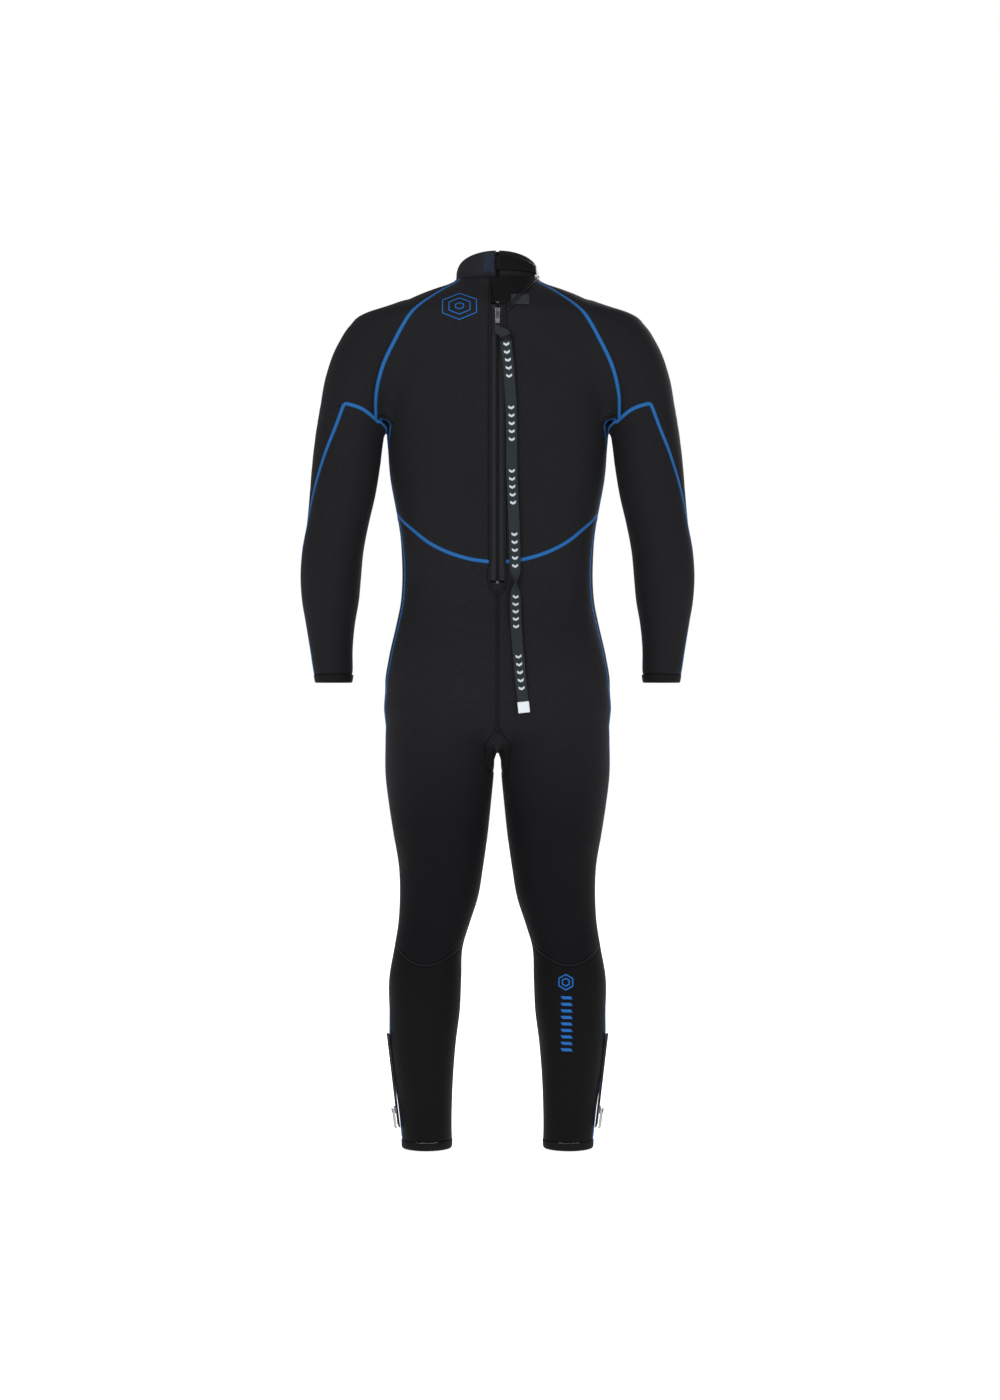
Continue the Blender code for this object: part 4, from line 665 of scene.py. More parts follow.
def mix_colour(tree: bpy.types.NodeTree, place: tuple, amount: object, low: tuple, high: tuple) -> object:
    """Mix two colours by a socket and return the result; a colour may be a socket too."""
    node = add_node(tree, "ShaderNodeMix", place, data_type="RGBA")
    tree.links.new(amount, node.inputs[0])
    for index, colour in ((6, low), (7, high)):
        if isinstance(colour, tuple):
            node.inputs[index].default_value = (*colour, 1)
        else:
            tree.links.new(colour, node.inputs[index])
    return node.outputs[2]


def remap(
    tree: bpy.types.NodeTree, place: tuple, value: object, low: float, high: float, to: tuple = (0.0, 1.0)
) -> object:
    """Map a value from a span to another, clamped."""
    node = add_node(tree, "ShaderNodeMapRange", place)
    for name, number in (("From Min", low), ("From Max", high), ("To Min", to[0]), ("To Max", to[1])):
        node.inputs[name].default_value = number
    tree.links.new(value, node.inputs["Value"])
    return node.outputs[0]


def raise_bump(
    tree: bpy.types.NodeTree, shader: bpy.types.Node, height: object, strength: float, distance: float
) -> None:
    """Feed a height into the shader's normal."""
    bump = add_node(tree, "ShaderNodeBump", (-200, -400), Strength=strength, Distance=distance)
    tree.links.new(height, bump.inputs["Height"])
    tree.links.new(bump.outputs[0], shader.inputs["Normal"])


@dataclass(frozen=True)
class Jersey:
    """Neoprene faced with a fine jersey knit, darkened below a given height as painted shade."""

    name: str
    colour: tuple
    worn: tuple
    loops: float = 900.0
    grain: float = 0.35
    roughness: float = 0.72
    sheen: float = 0.015
    # painted shade: the bottom and top heights of a ramp and the colour share below it; the knit is darkened
    # towards the thighs to stand in for shade
    fade: tuple = ()

    def make(self, groups: dict) -> bpy.types.Material:
        """Return the material."""
        material, tree, shader = surface(self.name, self.colour, self.roughness, sheen=self.sheen)
        knit = placed_group(tree, groups["knit"], (-900, 0), Loops=self.loops, Patches=8.0)
        patch = remap(tree, (-650, 100), knit.outputs["Patch"], 0.30, 0.70)
        base = mix_colour(tree, (-450, 200), patch, self.colour, self.worn)
        dark = tuple(0.55 * channel for channel in self.colour)
        grain = remap(tree, (-650, -100), knit.outputs["Grain"], 0.20, 0.75)
        knitted = mix_colour(tree, (-200, 200), grain, dark, base)
        # painted shade: the colour darkens below a height, standing in for shade over the thighs
        if self.fade:
            where = add_node(tree, "ShaderNodeTexCoord", (-900, 500))
            split = add_node(tree, "ShaderNodeSeparateXYZ", (-700, 500))
            tree.links.new(where.outputs["Object"], split.inputs[0])
            level = remap(tree, (-500, 500), split.outputs[2], self.fade[0], self.fade[1])
            shaded_colour = tuple(self.fade[2] * channel for channel in self.colour)
            knitted = mix_colour(tree, (0, 300), level, shaded_colour, knitted)
        tree.links.new(knitted, shader.inputs["Base Color"])
        rough = remap(
            tree, (-450, -100), knit.outputs["Patch"], 0.3, 0.7,
            (self.roughness - 0.06, self.roughness + 0.08)
        )
        tree.links.new(rough, shader.inputs["Roughness"])
        raise_bump(tree, shader, knit.outputs["Grain"], self.grain, 0.0006)
        return material


@dataclass(frozen=True)
class FlatlockThread:
    """Flatlock stitching: a covering thread with darker edges, laid on in slanted loops."""

    name: str
    bright: tuple
    edge: tuple
    stitches: float = 330.0

    def make(self, groups: dict) -> bpy.types.Material:
        """Return the material."""
        material, tree, shader = surface(self.name, self.bright, 0.55, sheen=0.0)
        thread = placed_group(tree, groups["thread"], (-900, 0), Stitches=self.stitches, Slant=0.9)
        dull = tuple(0.45 * channel for channel in self.bright)
        ply = mix_colour(tree, (-450, 200), thread.outputs["Thread"], dull, self.bright)
        rim = remap(tree, (-650, -200), thread.outputs["Edge"], 0.50, 0.86)
        tree.links.new(mix_colour(tree, (-200, 200), rim, ply, self.edge), shader.inputs["Base Color"])
        raise_bump(tree, shader, thread.outputs["Thread"], 0.6, 0.0004)
        return material


@dataclass(frozen=True)
class Webbing:
    """Woven tape or webbing, with an optional row of light woven dashes."""

    name: str
    colour: tuple
    along: float = 650.0
    across: float = 14.0
    roughness: float = 0.62
    dashes: bool = False
    dash_pitch: float = 0.0125
    dash_share: float = 0.30
    dash_lean: float = 0.010
    dash_half: float = 0.26
    group_pitch: float = 0.100
    group_gap: float = 0.374

    def make(self, groups: dict) -> bpy.types.Material:
        """Return the material."""
        material, tree, shader = surface(self.name, self.colour, self.roughness, sheen=0.02)
        weave = placed_group(tree, groups["weave"], (-900, 0), Along=self.along, Across=self.across)
        dark = tuple(0.5 * channel for channel in self.colour)
        base = mix_colour(tree, (-450, 200), weave.outputs["Weave"], dark, self.colour)
        if self.dashes:
            mask = self.dash_mask(tree)
            light = mix_colour(
                tree, (-450, 400), weave.outputs["Weave"], (0.22, 0.25, 0.27), (0.44, 0.49, 0.52)
            )
            base = mix_colour(tree, (-200, 300), mask, base, light)
        tree.links.new(base, shader.inputs["Base Color"])
        raise_bump(tree, shader, weave.outputs["Weave"], 0.5, 0.0004)
        return material

    def dash_mask(self, tree: bpy.types.NodeTree) -> object:
        """Return a mask of woven slanted dashes in groups along the webbing."""
        uv = add_node(tree, "ShaderNodeUVMap", (-1500, 500), uv_map="band")
        split = add_node(tree, "ShaderNodeSeparateXYZ", (-1300, 500))
        tree.links.new(uv.outputs[0], split.inputs[0])
        across = math_node(
            tree, "ABSOLUTE", (-1100, 600), math_node(tree, "SUBTRACT", (-1200, 600), split.outputs[1], 0.5)
        )
        lean = math_node(tree, "MULTIPLY", (-1000, 600), across, self.dash_lean)
        along = math_node(tree, "ADD", (-900, 500), split.outputs[0], lean)
        stroke = math_node(tree, "FRACT", (-700, 500), math_node(tree, "DIVIDE", (-800, 500), along,
        self.dash_pitch))
        thick = math_node(tree, "LESS_THAN", (-600, 500), stroke, self.dash_share)
        group = math_node(tree, "FRACT", (-700, 400), math_node(tree, "DIVIDE", (-800, 400), along,
        self.group_pitch))
        kept = math_node(tree, "GREATER_THAN", (-600, 400), group, self.group_gap)
        inside = math_node(tree, "LESS_THAN", (-600, 600), across, self.dash_half)
        return math_node(
            tree, "MULTIPLY", (-300, 500), math_node(tree, "MULTIPLY", (-400, 500), thick, kept), inside
        )


@dataclass(frozen=True)
class Metal:
    """Painted or plated zip metal with worn edges."""

    name: str
    colour: tuple
    worn: tuple
    roughness: float = 0.38

    def make(self, groups: dict) -> bpy.types.Material:
        """Return the material."""
        material, tree, shader = surface(self.name, self.colour, self.roughness, metallic=1.0)
        knit = placed_group(tree, groups["knit"], (-900, 0), Loops=2200.0, Patches=120.0)
        patch = remap(tree, (-650, 100), knit.outputs["Patch"], 0.52, 0.72)
        tree.links.new(
            mix_colour(tree, (-300, 200), patch, self.colour, self.worn), shader.inputs["Base Color"]
        )
        rough = remap(
            tree, (-450, -100), knit.outputs["Patch"], 0.3, 0.7,
            (self.roughness - 0.08, self.roughness + 0.12)
        )
        tree.links.new(rough, shader.inputs["Roughness"])
        raise_bump(tree, shader, knit.outputs["Grain"], 0.08, 0.0002)
        return material


@dataclass(frozen=True)
class Moulded:
    """Moulded or printed plastic, with a fine cross-hatched grain."""

    name: str
    colour: tuple
    roughness: float = 0.5
    loops: float = 1500.0
    grain: float = 0.3

    def make(self, groups: dict) -> bpy.types.Material:
        """Return the material."""
        material, tree, shader = surface(self.name, self.colour, self.roughness)
        knit = placed_group(tree, groups["knit"], (-900, 0), Loops=self.loops, Patches=60.0)
        dark = tuple(0.72 * channel for channel in self.colour)
        grain = remap(tree, (-650, 0), knit.outputs["Grain"], 0.25, 0.70)
        tree.links.new(mix_colour(tree, (-300, 200), grain, dark, self.colour), shader.inputs["Base Color"])
        rough = remap(
            tree, (-450, -100), knit.outputs["Patch"], 0.3, 0.7,
            (self.roughness - 0.05, self.roughness + 0.08)
        )
        tree.links.new(rough, shader.inputs["Roughness"])
        raise_bump(tree, shader, knit.outputs["Grain"], self.grain, 0.0003)
        return material


@dataclass
class Finishes:
    """Every material of the suit, made once."""

    made: dict = field(default_factory=dict)

    def make(self) -> None:
        """Make the shared groups and the materials."""
        groups = {"knit": knit_group(), "thread": thread_group(), "weave": weave_group()}
        upper = (0.0070, 0.0071, 0.0082)
        lower = (0.0076, 0.0075, 0.0094)
        limb = (0.0068, 0.0068, 0.0084)
        calf = (0.0028, 0.0028, 0.0033)
        blue = (0.012, 0.090, 0.290)
        for finish in (
            Jersey("back_jersey", upper, (0.0088, 0.0090, 0.0102)),
            # seat_knit has painted shade: darker from z 0.74 down to 0.52
            Jersey(
                "seat_knit", lower, (0.0096, 0.0095, 0.0117), loops=560.0, grain=0.65, fade=(0.52, 0.74, 0.42)
            ),
            Jersey("limb_jersey", limb, (0.0084, 0.0084, 0.0100)),
            Jersey("calf_jersey", calf, (0.0038, 0.0038, 0.0044)),
            Jersey("rib_binding", (0.0048, 0.0049, 0.0055), (0.0062, 0.0063, 0.0070), loops=1200.0),
            Jersey("flap_jersey", (0.0026, 0.0027, 0.0030), (0.0038, 0.0039, 0.0043)),
            Jersey(
                "loop_pile", (0.0105, 0.0145, 0.0260), (0.0145, 0.0190, 0.0320), loops=420.0, grain=1.0,
                roughness=0.95, sheen=0.08
            ),
            Jersey("collar_grey", (0.0105, 0.0108, 0.0120), (0.0135, 0.0138, 0.0152), loops=700.0),
            FlatlockThread("blue_flatlock", (0.016, 0.105, 0.300), (0.005, 0.024, 0.070)),
            FlatlockThread(
                "black_flatlock", (0.0085, 0.0087, 0.0098), (0.0030, 0.0030, 0.0034), stitches=420.0
            ),
            Webbing("zip_tape_weave", (0.0150, 0.0155, 0.0180), along=900.0, across=12.0),
            Webbing("leash_weave", (0.0190, 0.0235, 0.0265), dashes=True),
            Webbing("keeper_weave", (0.0230, 0.0260, 0.0290), along=520.0, across=10.0),
            Metal("zip_metal_finish", (0.085, 0.088, 0.095), (0.22, 0.22, 0.23)),
            Moulded("coil_nylon", (0.0120, 0.0125, 0.0140), roughness=0.42, grain=0.1),
            Moulded("tab_moulding", (0.33, 0.345, 0.355), roughness=0.48, loops=700.0, grain=0.8),
            Moulded("label_cloth", (0.74, 0.75, 0.75), roughness=0.85, loops=2000.0),
            Moulded("print_blue", blue, roughness=0.50, grain=0.15),
            Moulded("piping_rubber", (0.0085, 0.0087, 0.0098), roughness=0.40, grain=0.08),
            Moulded("tip_light", (0.46, 0.50, 0.52), roughness=0.70),
        ):
            self.made[finish.name] = finish.make(groups)

    def __getitem__(self, name: str) -> bpy.types.Material:
        """Return a material by name."""
        return self.made[name]


# ---- mesh helpers --------------------------------------------------------------------------
def grid_faces(rows: int, cols: int, closed: bool = False) -> list:
    """Return the quads of a grid; closed joins its last column to its first."""
    faces = []
    for i in range(rows - 1):
        for j in range(cols if closed else cols - 1):
            k = (j + 1) % cols
            faces.append((i * cols + j, i * cols + k, (i + 1) * cols + k, (i + 1) * cols + j))
    return faces


def tube_faces(rings: int, count: int) -> list:
    """Return the quads of a ring of cross-sections joined all round."""
    faces = []
    for i in range(rings):
        for j in range(count):
            k, m = (i + 1) % rings, (j + 1) % count
            faces.append((i * count + j, i * count + m, k * count + m, k * count + j))
    return faces


def link(
    name: str, points: np.ndarray, faces: list, material: bpy.types.Material, smooth: bool = True
) -> bpy.types.Object:
    """Make an object from points and faces.

    Args:
        name: the object's name.
        points: its vertices in world metres.
        faces: its faces, turned outwards.
        material: its finish.
        smooth: whether it is shaded smooth.

    Returns:
        The object.
    """
    mesh = bpy.data.meshes.new(name)
    mesh.from_pydata([tuple(p) for p in points], [], faces)
    mesh.materials.append(material)
    if smooth:
        mesh.shade_smooth()
    item = bpy.data.objects.new(name, mesh)
    bpy.context.scene.collection.objects.link(item)
    return item


def fix_outward(item: bpy.types.Object) -> None:
    """Turn a closed mesh's faces outwards."""
    shape = bmesh.new()
    shape.from_mesh(item.data)
    if shape.calc_volume(signed=True) < 0:
        bmesh.ops.reverse_faces(shape, faces=shape.faces[:])
    shape.to_mesh(item.data)
    shape.free()


def set_band_uv(item: bpy.types.Object, uv: np.ndarray) -> None:
    """Give a mesh the UV map "band" from one pair per vertex."""
    layer = item.data.uv_layers.new(name="band")
    loops = np.empty(len(item.data.loops), dtype=np.int32)
    item.data.loops.foreach_get("vertex_index", loops)
    layer.data.foreach_set("uv", uv[loops].astype(np.float32).ravel())


def slab(
    name: str, outer: np.ndarray, inner: np.ndarray, material: bpy.types.Material, closed: bool = False
) -> bpy.types.Object:
    """Make one closed body from matching outer and inner grids."""
    rows, cols, _ = outer.shape
    count = rows * cols
    faces = grid_faces(rows, cols, closed)
    faces += [tuple(count + k for k in reversed(face)) for face in grid_faces(rows, cols, closed)]
    if closed:
        top = [(j, (j + 1) % cols) for j in range(cols)]
        foot = [((rows - 1) * cols + (j + 1) % cols, (rows - 1) * cols + j) for j in range(cols)]
        border = top + foot
    else:
        loop = list(range(cols)) + [i * cols + cols - 1 for i in range(1, rows)]
        loop += [
            (rows - 1) * cols + j for j in range(cols - 2, -1, -1)
        ] + [i * cols for i in range(rows - 2, 0, -1)]
        border = list(zip(loop, loop[1:] + loop[:1]))
    faces += [(b, a, a + count, b + count) for a, b in border]
    item = link(name, np.concatenate([outer.reshape(-1, 3), inner.reshape(-1, 3)]), faces, material)
    fix_outward(item)
    return item


def grid_area(grid: np.ndarray) -> float:
    """Return a grid's area."""
    first = np.cross(grid[1:, :-1] - grid[:-1, :-1], grid[1:, 1:] - grid[:-1, :-1])
    second = np.cross(grid[1:, 1:] - grid[:-1, :-1], grid[:-1, 1:] - grid[:-1, :-1])
    return float((np.linalg.norm(first, axis=2).sum() + np.linalg.norm(second, axis=2).sum()) / 2)


def apply_modifiers(item: bpy.types.Object) -> None:
    """Apply every modifier of an object."""
    bpy.ops.object.select_all(action="DESELECT")
    bpy.context.view_layer.objects.active = item
    item.select_set(True)
    for modifier in list(item.modifiers):
        bpy.ops.object.modifier_apply(modifier=modifier.name)
    item.select_set(False)


def thread_loop(
    name: str, line: np.ndarray, ways: np.ndarray, size: tuple, material: bpy.types.Material
) -> bpy.types.Object:
    """Make a closed ring of fine raised thread along a loop.

    Args:
        name: the piece's name.
        line: its points, without a repeated end.
        ways: the outward direction at each point.
        size: how far it stands off the form, and its width.
        material: its finish.

    Returns:
        The piece.
    """
    lift, width = size
    tangents = unit(np.roll(line, -1, axis=0) - np.roll(line, 1, axis=0))
    across = unit(np.cross(ways, tangents))
    rows = []
    for angle in np.linspace(0, 2 * math.pi, 7)[:-1]:
        rows.append(
            line + across * (math.cos(angle) * width / 2) + ways * (lift + math.sin(angle) * width / 3)
        )
    item = link(name, np.concatenate(rows), tube_faces(len(rows), len(line)), material)
    fix_outward(item)
    return item


# ---- cloth panels --------------------------------------------------------------------------
@dataclass
class PanelPlan:
    """One panel between four seams, each a list of (seam, share of rows) pairs."""

    name: str
    side_a: list
    side_b: list
    top: Seam
    bottom: Seam
    guides: list
    region: Region = Region.TORSO
    across: float = 0.006
    along: float = 0.006

    def grid(self) -> tuple[np.ndarray, np.ndarray]:
        """Return the panel's points and normals, rows by columns, on the form."""
        spans = []
        for first, second in zip(self.side_a, self.side_b):
            spans.append(max(2, int(round(max(first.length(), second.length()) / self.along))))
        side_a = self.joined(self.side_a, spans)
        side_b = self.joined(self.side_b, spans)
        cols = max(
            8, int(round(max(self.top.length(), self.bottom.length(), self.middle_width()) / self.across))
        )
        top = self.top.sample(cols)
        bottom = self.bottom.sample(cols)
        knots = [0.0]
        lines = [side_a[0]]
        for share, points in self.guides:
            knots.append(share)
            lines.append(evenly(smooth_curve(points), len(side_a[0]) - 1))
        knots.append(1.0)
        lines.append(side_b[0])
        values = np.array(lines)
        across = np.linspace(0, 1, cols + 1)
        grid = hermite_rows(
            np.array(knots), values, np.gradient(values, knots, axis=0), across
        ).transpose(1, 0, 2)
        down = np.linspace(0, 1, len(grid))[:, None, None]
        grid = grid + (1 - down) * (top[0] - grid[0])[None] + down * (bottom[0] - grid[-1])[None]
        flat = FORM.project(grid.reshape(-1, 3), self.region)
        normals = unit(FORM.gradient(flat, self.region)).reshape(grid.shape)
        grid = flat.reshape(grid.shape)
        for index, edge in ((0, top), (-1, bottom)):
            grid[index], normals[index] = edge
        for index, edge in ((0, side_a), (-1, side_b)):
            grid[:, index], normals[:, index] = edge
        return grid, normals

    def middle_width(self) -> float:
        """Return the distance between the sides at half way."""
        first = self.side_a[len(self.side_a) // 2].curve
        second = self.side_b[len(self.side_b) // 2].curve
        return float(np.linalg.norm(first[len(first) // 2] - second[len(second) // 2]))

    @staticmethod
    def joined(seams: list, spans: list) -> tuple[np.ndarray, np.ndarray]:
        """Return points and normals down a chain of seams with a count for each."""
        points = []
        normals = []
        for seam, count in zip(seams, spans):
            line, way = seam.sample(count)
            points.append(line if not points else line[1:])
            normals.append(way if not normals else way[1:])
        return np.concatenate(points), np.concatenate(normals)


@dataclass
class Cloth:
    """Turns panel grids into neoprene with sewn grooves along their edges."""

    thickness: float = 0.0030
    gap: float = 0.00015
    groove: float = 0.0011
    groove_width: float = 0.0045

    def shaped(self, grid: np.ndarray, normals: np.ndarray) -> tuple[np.ndarray, np.ndarray]:
        """Return the panel's outer and inner grids."""
        rows, cols, _ = grid.shape
        flat = grid.reshape(-1, 3)
        edge = np.concatenate([grid[0], grid[-1], grid[:, 0], grid[:, -1]])
        near = np.full(len(flat), 1.0)
        for start in range(0, len(edge), 400):
            part = edge[start:start + 400]
            gap = np.linalg.norm(flat[:, None, :] - part[None], axis=2).min(axis=1)
            near = np.minimum(near, gap)
        dip = -self.groove * np.exp(-(near / self.groove_width) ** 2)
        lift = dip.reshape(rows, cols, 1)
        outer = self.drawn_in(grid, normals) + normals * lift
        return outer, outer - normals * self.thickness

    def drawn_in(self, grid: np.ndarray, normals: np.ndarray) -> np.ndarray:
        """Return the grid with its edges moved in by half the gap between panels."""
        moves = np.zeros_like(grid)
        plan = (
            (grid[:, 0], grid[:, 1], normals[:, 0], (slice(None), 0)),
            (grid[:, -1], grid[:, -2], normals[:, -1], (slice(None), -1)),
            (grid[0], grid[1], normals[0], (0, slice(None))),
            (grid[-1], grid[-2], normals[-1], (-1, slice(None))),
        )
        for edge, inner, normal, place in plan:
            inward = unit(np.cross(normal, np.gradient(edge, axis=0)))
            sign = np.sign(((inner - edge) * inward).sum(1, keepdims=True))
            moves[place] += inward * np.where(sign == 0, 1, sign) * self.gap / 2
        return grid + moves

    def panel(
        self, name: str, grid: np.ndarray, normals: np.ndarray, material: bpy.types.Material
    ) -> bpy.types.Object:
        """Make one panel and note its flat area."""
        outer, inner = self.shaped(grid, normals)
        item = slab(name, outer, inner, material)
        item["flat_area"] = grid_area(grid)
        LOG.info("cloth panel %s, %.4f m2", name, item["flat_area"])
        return item


@dataclass
class Joints:
    """The elbow and knee axes, where the cloth would bend."""

    elbow: tuple = ((0.2537, -0.015, 1.082), (0.2537, -0.015, 0.972))
    knee: tuple = ((0.104, -0.003, 0.426), (0.104, -0.003, 0.298))

    def bend(self, item: bpy.types.Object, place: str, side: Side) -> None:
        """Bake a finished piece's transform into its mesh; it is not bent over the elbow or knee."""
        ends = [(x * side.value, y, z) for x, y, z in getattr(self, place)]
        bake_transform(item)


@dataclass
class Shell:
    """The suit's cloth panels, mirrored from the right side to the left."""

    cut: Cut
    finishes: Finishes
    cloth: Cloth = field(default_factory=Cloth)
    joints: Joints = field(default_factory=Joints)
    hem_layer: float = 1.15

    def guides(self, limb: str, shares: tuple, angles: tuple, heights: tuple) -> list:
        """Return guide lines of constant angle round a limb."""
        return [(s, [FORM.ring(limb, z, a) for z in heights]) for s, a in zip(shares, angles)]

    def back(self) -> PanelPlan:
        """Plan the upper back panel."""
        s = self.cut.seams
        rise = s["raglan_back"].length() / (s["raglan_back"].length() + s["side_upper"].length())
        height = self.cut.neck_height(self.cut.collar_base, 36)
        guide = [FORM.ring("neck", height, 36), FORM.back(0.070, 1.360), FORM.back(0.100, 1.280),
                 FORM.back(0.108, 1.180), FORM.back(0.098, 1.060), FORM.back(0.085, 0.957)]
        return PanelPlan(
            "back_panel", [s["zip_side"].part(0, rise), s["zip_side"].part(rise, 1)],
            [s["raglan_back"], s["side_upper"]], s["neck_back"], s["waist_back"].reversed(), [(0.5, guide)])

    def chest(self) -> PanelPlan:
        """Plan half of the chest panel, up to the middle."""
        s = self.cut.seams
        f = FORM
        outer = [s["raglan_front"], s["armpit_under"].reversed(), s["side_upper"]]
        lengths = np.cumsum([0] + [seam.length() for seam in outer])
        shares = lengths / lengths[-1]
        inner = [s["centre_chest"].part(a, b) for a, b in zip(shares[:-1], shares[1:])]
        base = self.cut.collar_base
        first = [f.ring("neck", self.cut.neck_height(base, 142), 142), f.front(0.090, 1.290), f.front(0.135,
        1.200),
                 f.ring("torso", 1.130, 124), f.ring("torso", 1.050, 116), f.ring("torso", 0.996, 112)]
        second = [f.ring("neck", self.cut.neck_height(base, 162), 162), f.front(0.050, 1.270),
                  f.ring("torso", 1.170, 152), f.ring("torso", 1.060, 148), f.ring("torso", 0.972, 146)]
        return PanelPlan(
            "chest_panel", outer, inner, s["neck_front"], s["waist_front"], [(0.36, first), (0.68, second)]
        )

    def seat(self) -> PanelPlan:
        """Plan the panel over the seat, the back of the thigh and the back of the knee."""
        s = self.cut.seams
        f = FORM
        inner = [
            chain(s["zip_foot"], s["centre_back"]), chain(s["tip_back"], s["gusset_back"]), s["inner_thigh"]
        ]
        lengths = np.cumsum([0] + [seam.length() for seam in inner])
        shares = lengths / lengths[-1]
        outer = [s["side_lower"].part(a, b) for a, b in zip(shares[:-1], shares[1:])]
        guide = [f.back(0.085, 0.957), f.back(0.088, 0.860), f.back(0.092, 0.760)]
        guide += [f.ring("leg", z, a) for z, a in ((0.660, 2), (0.560, 0), (0.480, -1), (0.400, -1), (0.340,
        -1),
                                                   (0.298, -1))]
        return PanelPlan("seat_thigh_knee", inner + [s["knee_inner"]], outer + [s["knee_outer"]],
                         s["waist_back"].reversed(), s["knee_foot_back"], [(0.5, guide)])

    def thigh_front(self) -> PanelPlan:
        """Plan the panel over the belly and the front of the thigh."""
        s = self.cut.seams
        f = FORM
        inner = [s["centre_belly"], chain(s["tip_front"], s["gusset_front"]), s["inner_thigh"]]
        lengths = np.cumsum([0] + [seam.length() for seam in inner])
        shares = lengths / lengths[-1]
        outer = [s["side_lower"].part(a, b) for a, b in zip(shares[:-1], shares[1:])]
        first = [f.front(0.058, 0.960), f.front(0.062, 0.860), f.front(0.070, 0.760)]
        first += [f.ring("leg", z, a) for z, a in ((0.660, 200), (0.560, 206), (0.480, 207), (0.426, 207))]
        second = [f.ring("torso", z, a) for z, a in ((0.990, 120), (0.880, 122), (0.770, 124))]
        second += [f.ring("leg", z, a) for z, a in ((0.660, 138), (0.560, 143), (0.480, 143), (0.426, 143))]
        return PanelPlan("front_thigh_panel", inner, outer, s["waist_front"].reversed(), s["knee_top_front"],
                         [(0.35, first), (0.70, second)])

    def lower_leg(self) -> list:
        """Plan the knee pad, calf and shin panels."""
        s = self.cut.seams
        heights = (0.294, 0.24, 0.17, 0.10, self.cut.ankle_z + self.cut.hem_height)
        shares = (0.25, 0.5, 0.75)
        return [
            PanelPlan("knee_pad", [s["knee_inner"]], [s["knee_outer"]], s["knee_top_front"],
            s["knee_foot_front"],
                      self.guides("leg", shares, (225, 179, 133), (0.426, 0.362, 0.298))),
            PanelPlan("calf_panel", [s["shin_inner"]], [s["shin_outer"]], s["knee_foot_back"], s["hem_back"],
                      self.guides("leg", shares, (-49, -6, 34), heights)),
            PanelPlan("shin_panel", [s["shin_inner"]], [s["shin_outer"]], s["knee_foot_front"],
            s["hem_front"],
                      self.guides("leg", shares, (221, 174, 126), heights)),
        ]

    def sleeve(self) -> list:
        """Plan the outer and the inner sleeve, shoulder to wrist."""
        s = self.cut.seams
        rise = s["raglan_back"].length() / (s["raglan_back"].length() + s["armpit_back"].length())
        cuff = self.cut.wrist_z + self.cut.hem_height
        low = (1.027, 0.970, 0.912, 0.850, 0.800, cuff)
        outer_guides = []
        for share in (0.25, 0.5, 0.75):
            degrees = 62.0 + 60.0 * share
            points = [FORM.ring("neck", self.cut.neck_height(self.cut.collar_base, degrees), degrees)]
            for x, z, reach in ((0.105, 1.375, 0.060), (0.148, 1.350, 0.085)):
                start = np.array([[x, -0.014 + reach * (share - 0.5), z]])
                points.append(FORM.project(start, Region.ARM)[0])
            points += self.cut.arm_line((1.300, 1.250, 1.205, 1.160, 1.115, 1.082) + low, share)
            outer_guides.append((share, points))
        under = s["armpit_under"].curve
        inner_guides = []
        for share in (0.45, 0.75):
            line = [under[int(240 * (share - 0.2))]] + self.cut.under_line((1.125, 1.096, 1.082) + low, share)
            inner_guides.append((share, line))
        return [
            PanelPlan("sleeve_outer", [s["raglan_back"], s["armpit_back"], s["arm_back"]],
                      [s["raglan_front"].part(0, rise), s["raglan_front"].part(rise, 1), s["arm_front"]],
                      s["neck_side"], s["cuff_outer"], outer_guides, Region.ARM),
            PanelPlan("sleeve_inner", [s["arm_back"]], [s["arm_front"]],
                      chain(s["armpit_back"].reversed(), s["armpit_under"]), s["cuff_inner"], inner_guides,
                      Region.ARM),
        ]

    def declare(self, item: bpy.types.Object, grid: np.ndarray) -> None:
        """Take a panel and its grid; nothing is done with them."""

    def build(self) -> None:
        """Build and dress every panel."""
        plans = [
            (self.back(), "back_jersey", None, ("back_panel",)),
            (self.seat(), "seat_knit", "knee", ("seat_thigh_panel", "knee_back")),
            (self.thigh_front(), "seat_knit", None, ("front_thigh_panel",)),
        ]
        for plan in self.lower_leg():
            plans.append((plan, "calf_jersey", "knee", (plan.name,)))
        outer, inner = self.sleeve()
        plans.append((outer, "limb_jersey", "elbow", ("sleeve_top", "elbow_outer", "forearm_outer")))
        plans.append((inner, "limb_jersey", "elbow", ("under_sleeve", "elbow_inner", "forearm_inner")))
        for plan, finish, joint, nodes in plans:
            grid, normals = plan.grid()
            for side in Side:
                way = MIRROR if side is Side.LEFT else 1.0
                name = plan.name + "_cloth_" + side.word
                item = self.cloth.panel(name, grid * way, normals * way, self.finishes[finish])
                self.declare(item, grid)
                if joint is None:
                    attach(item, "suit")
                else:
                    self.joints.bend(item, joint, side)
                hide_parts(*[node + "_" + side.word for node in nodes])
        self.chest_whole()
        self.gusset()
        self.hems()

    def chest_whole(self) -> None:
        """Build the chest panel in one piece across the middle."""
        grid, normals = self.chest().grid()
        whole = np.concatenate([grid[:, :-1], (grid * MIRROR)[:, ::-1]], axis=1)
        ways = np.concatenate([normals[:, :-1], (normals * MIRROR)[:, ::-1]], axis=1)
        whole[:, grid.shape[1] - 1, 0] = 0.0
        item = self.cloth.panel("chest_panel_cloth", whole, unit(ways), self.finishes["back_jersey"])
        self.declare(item, whole)
        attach(item, "suit")
        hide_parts("chest_panel")

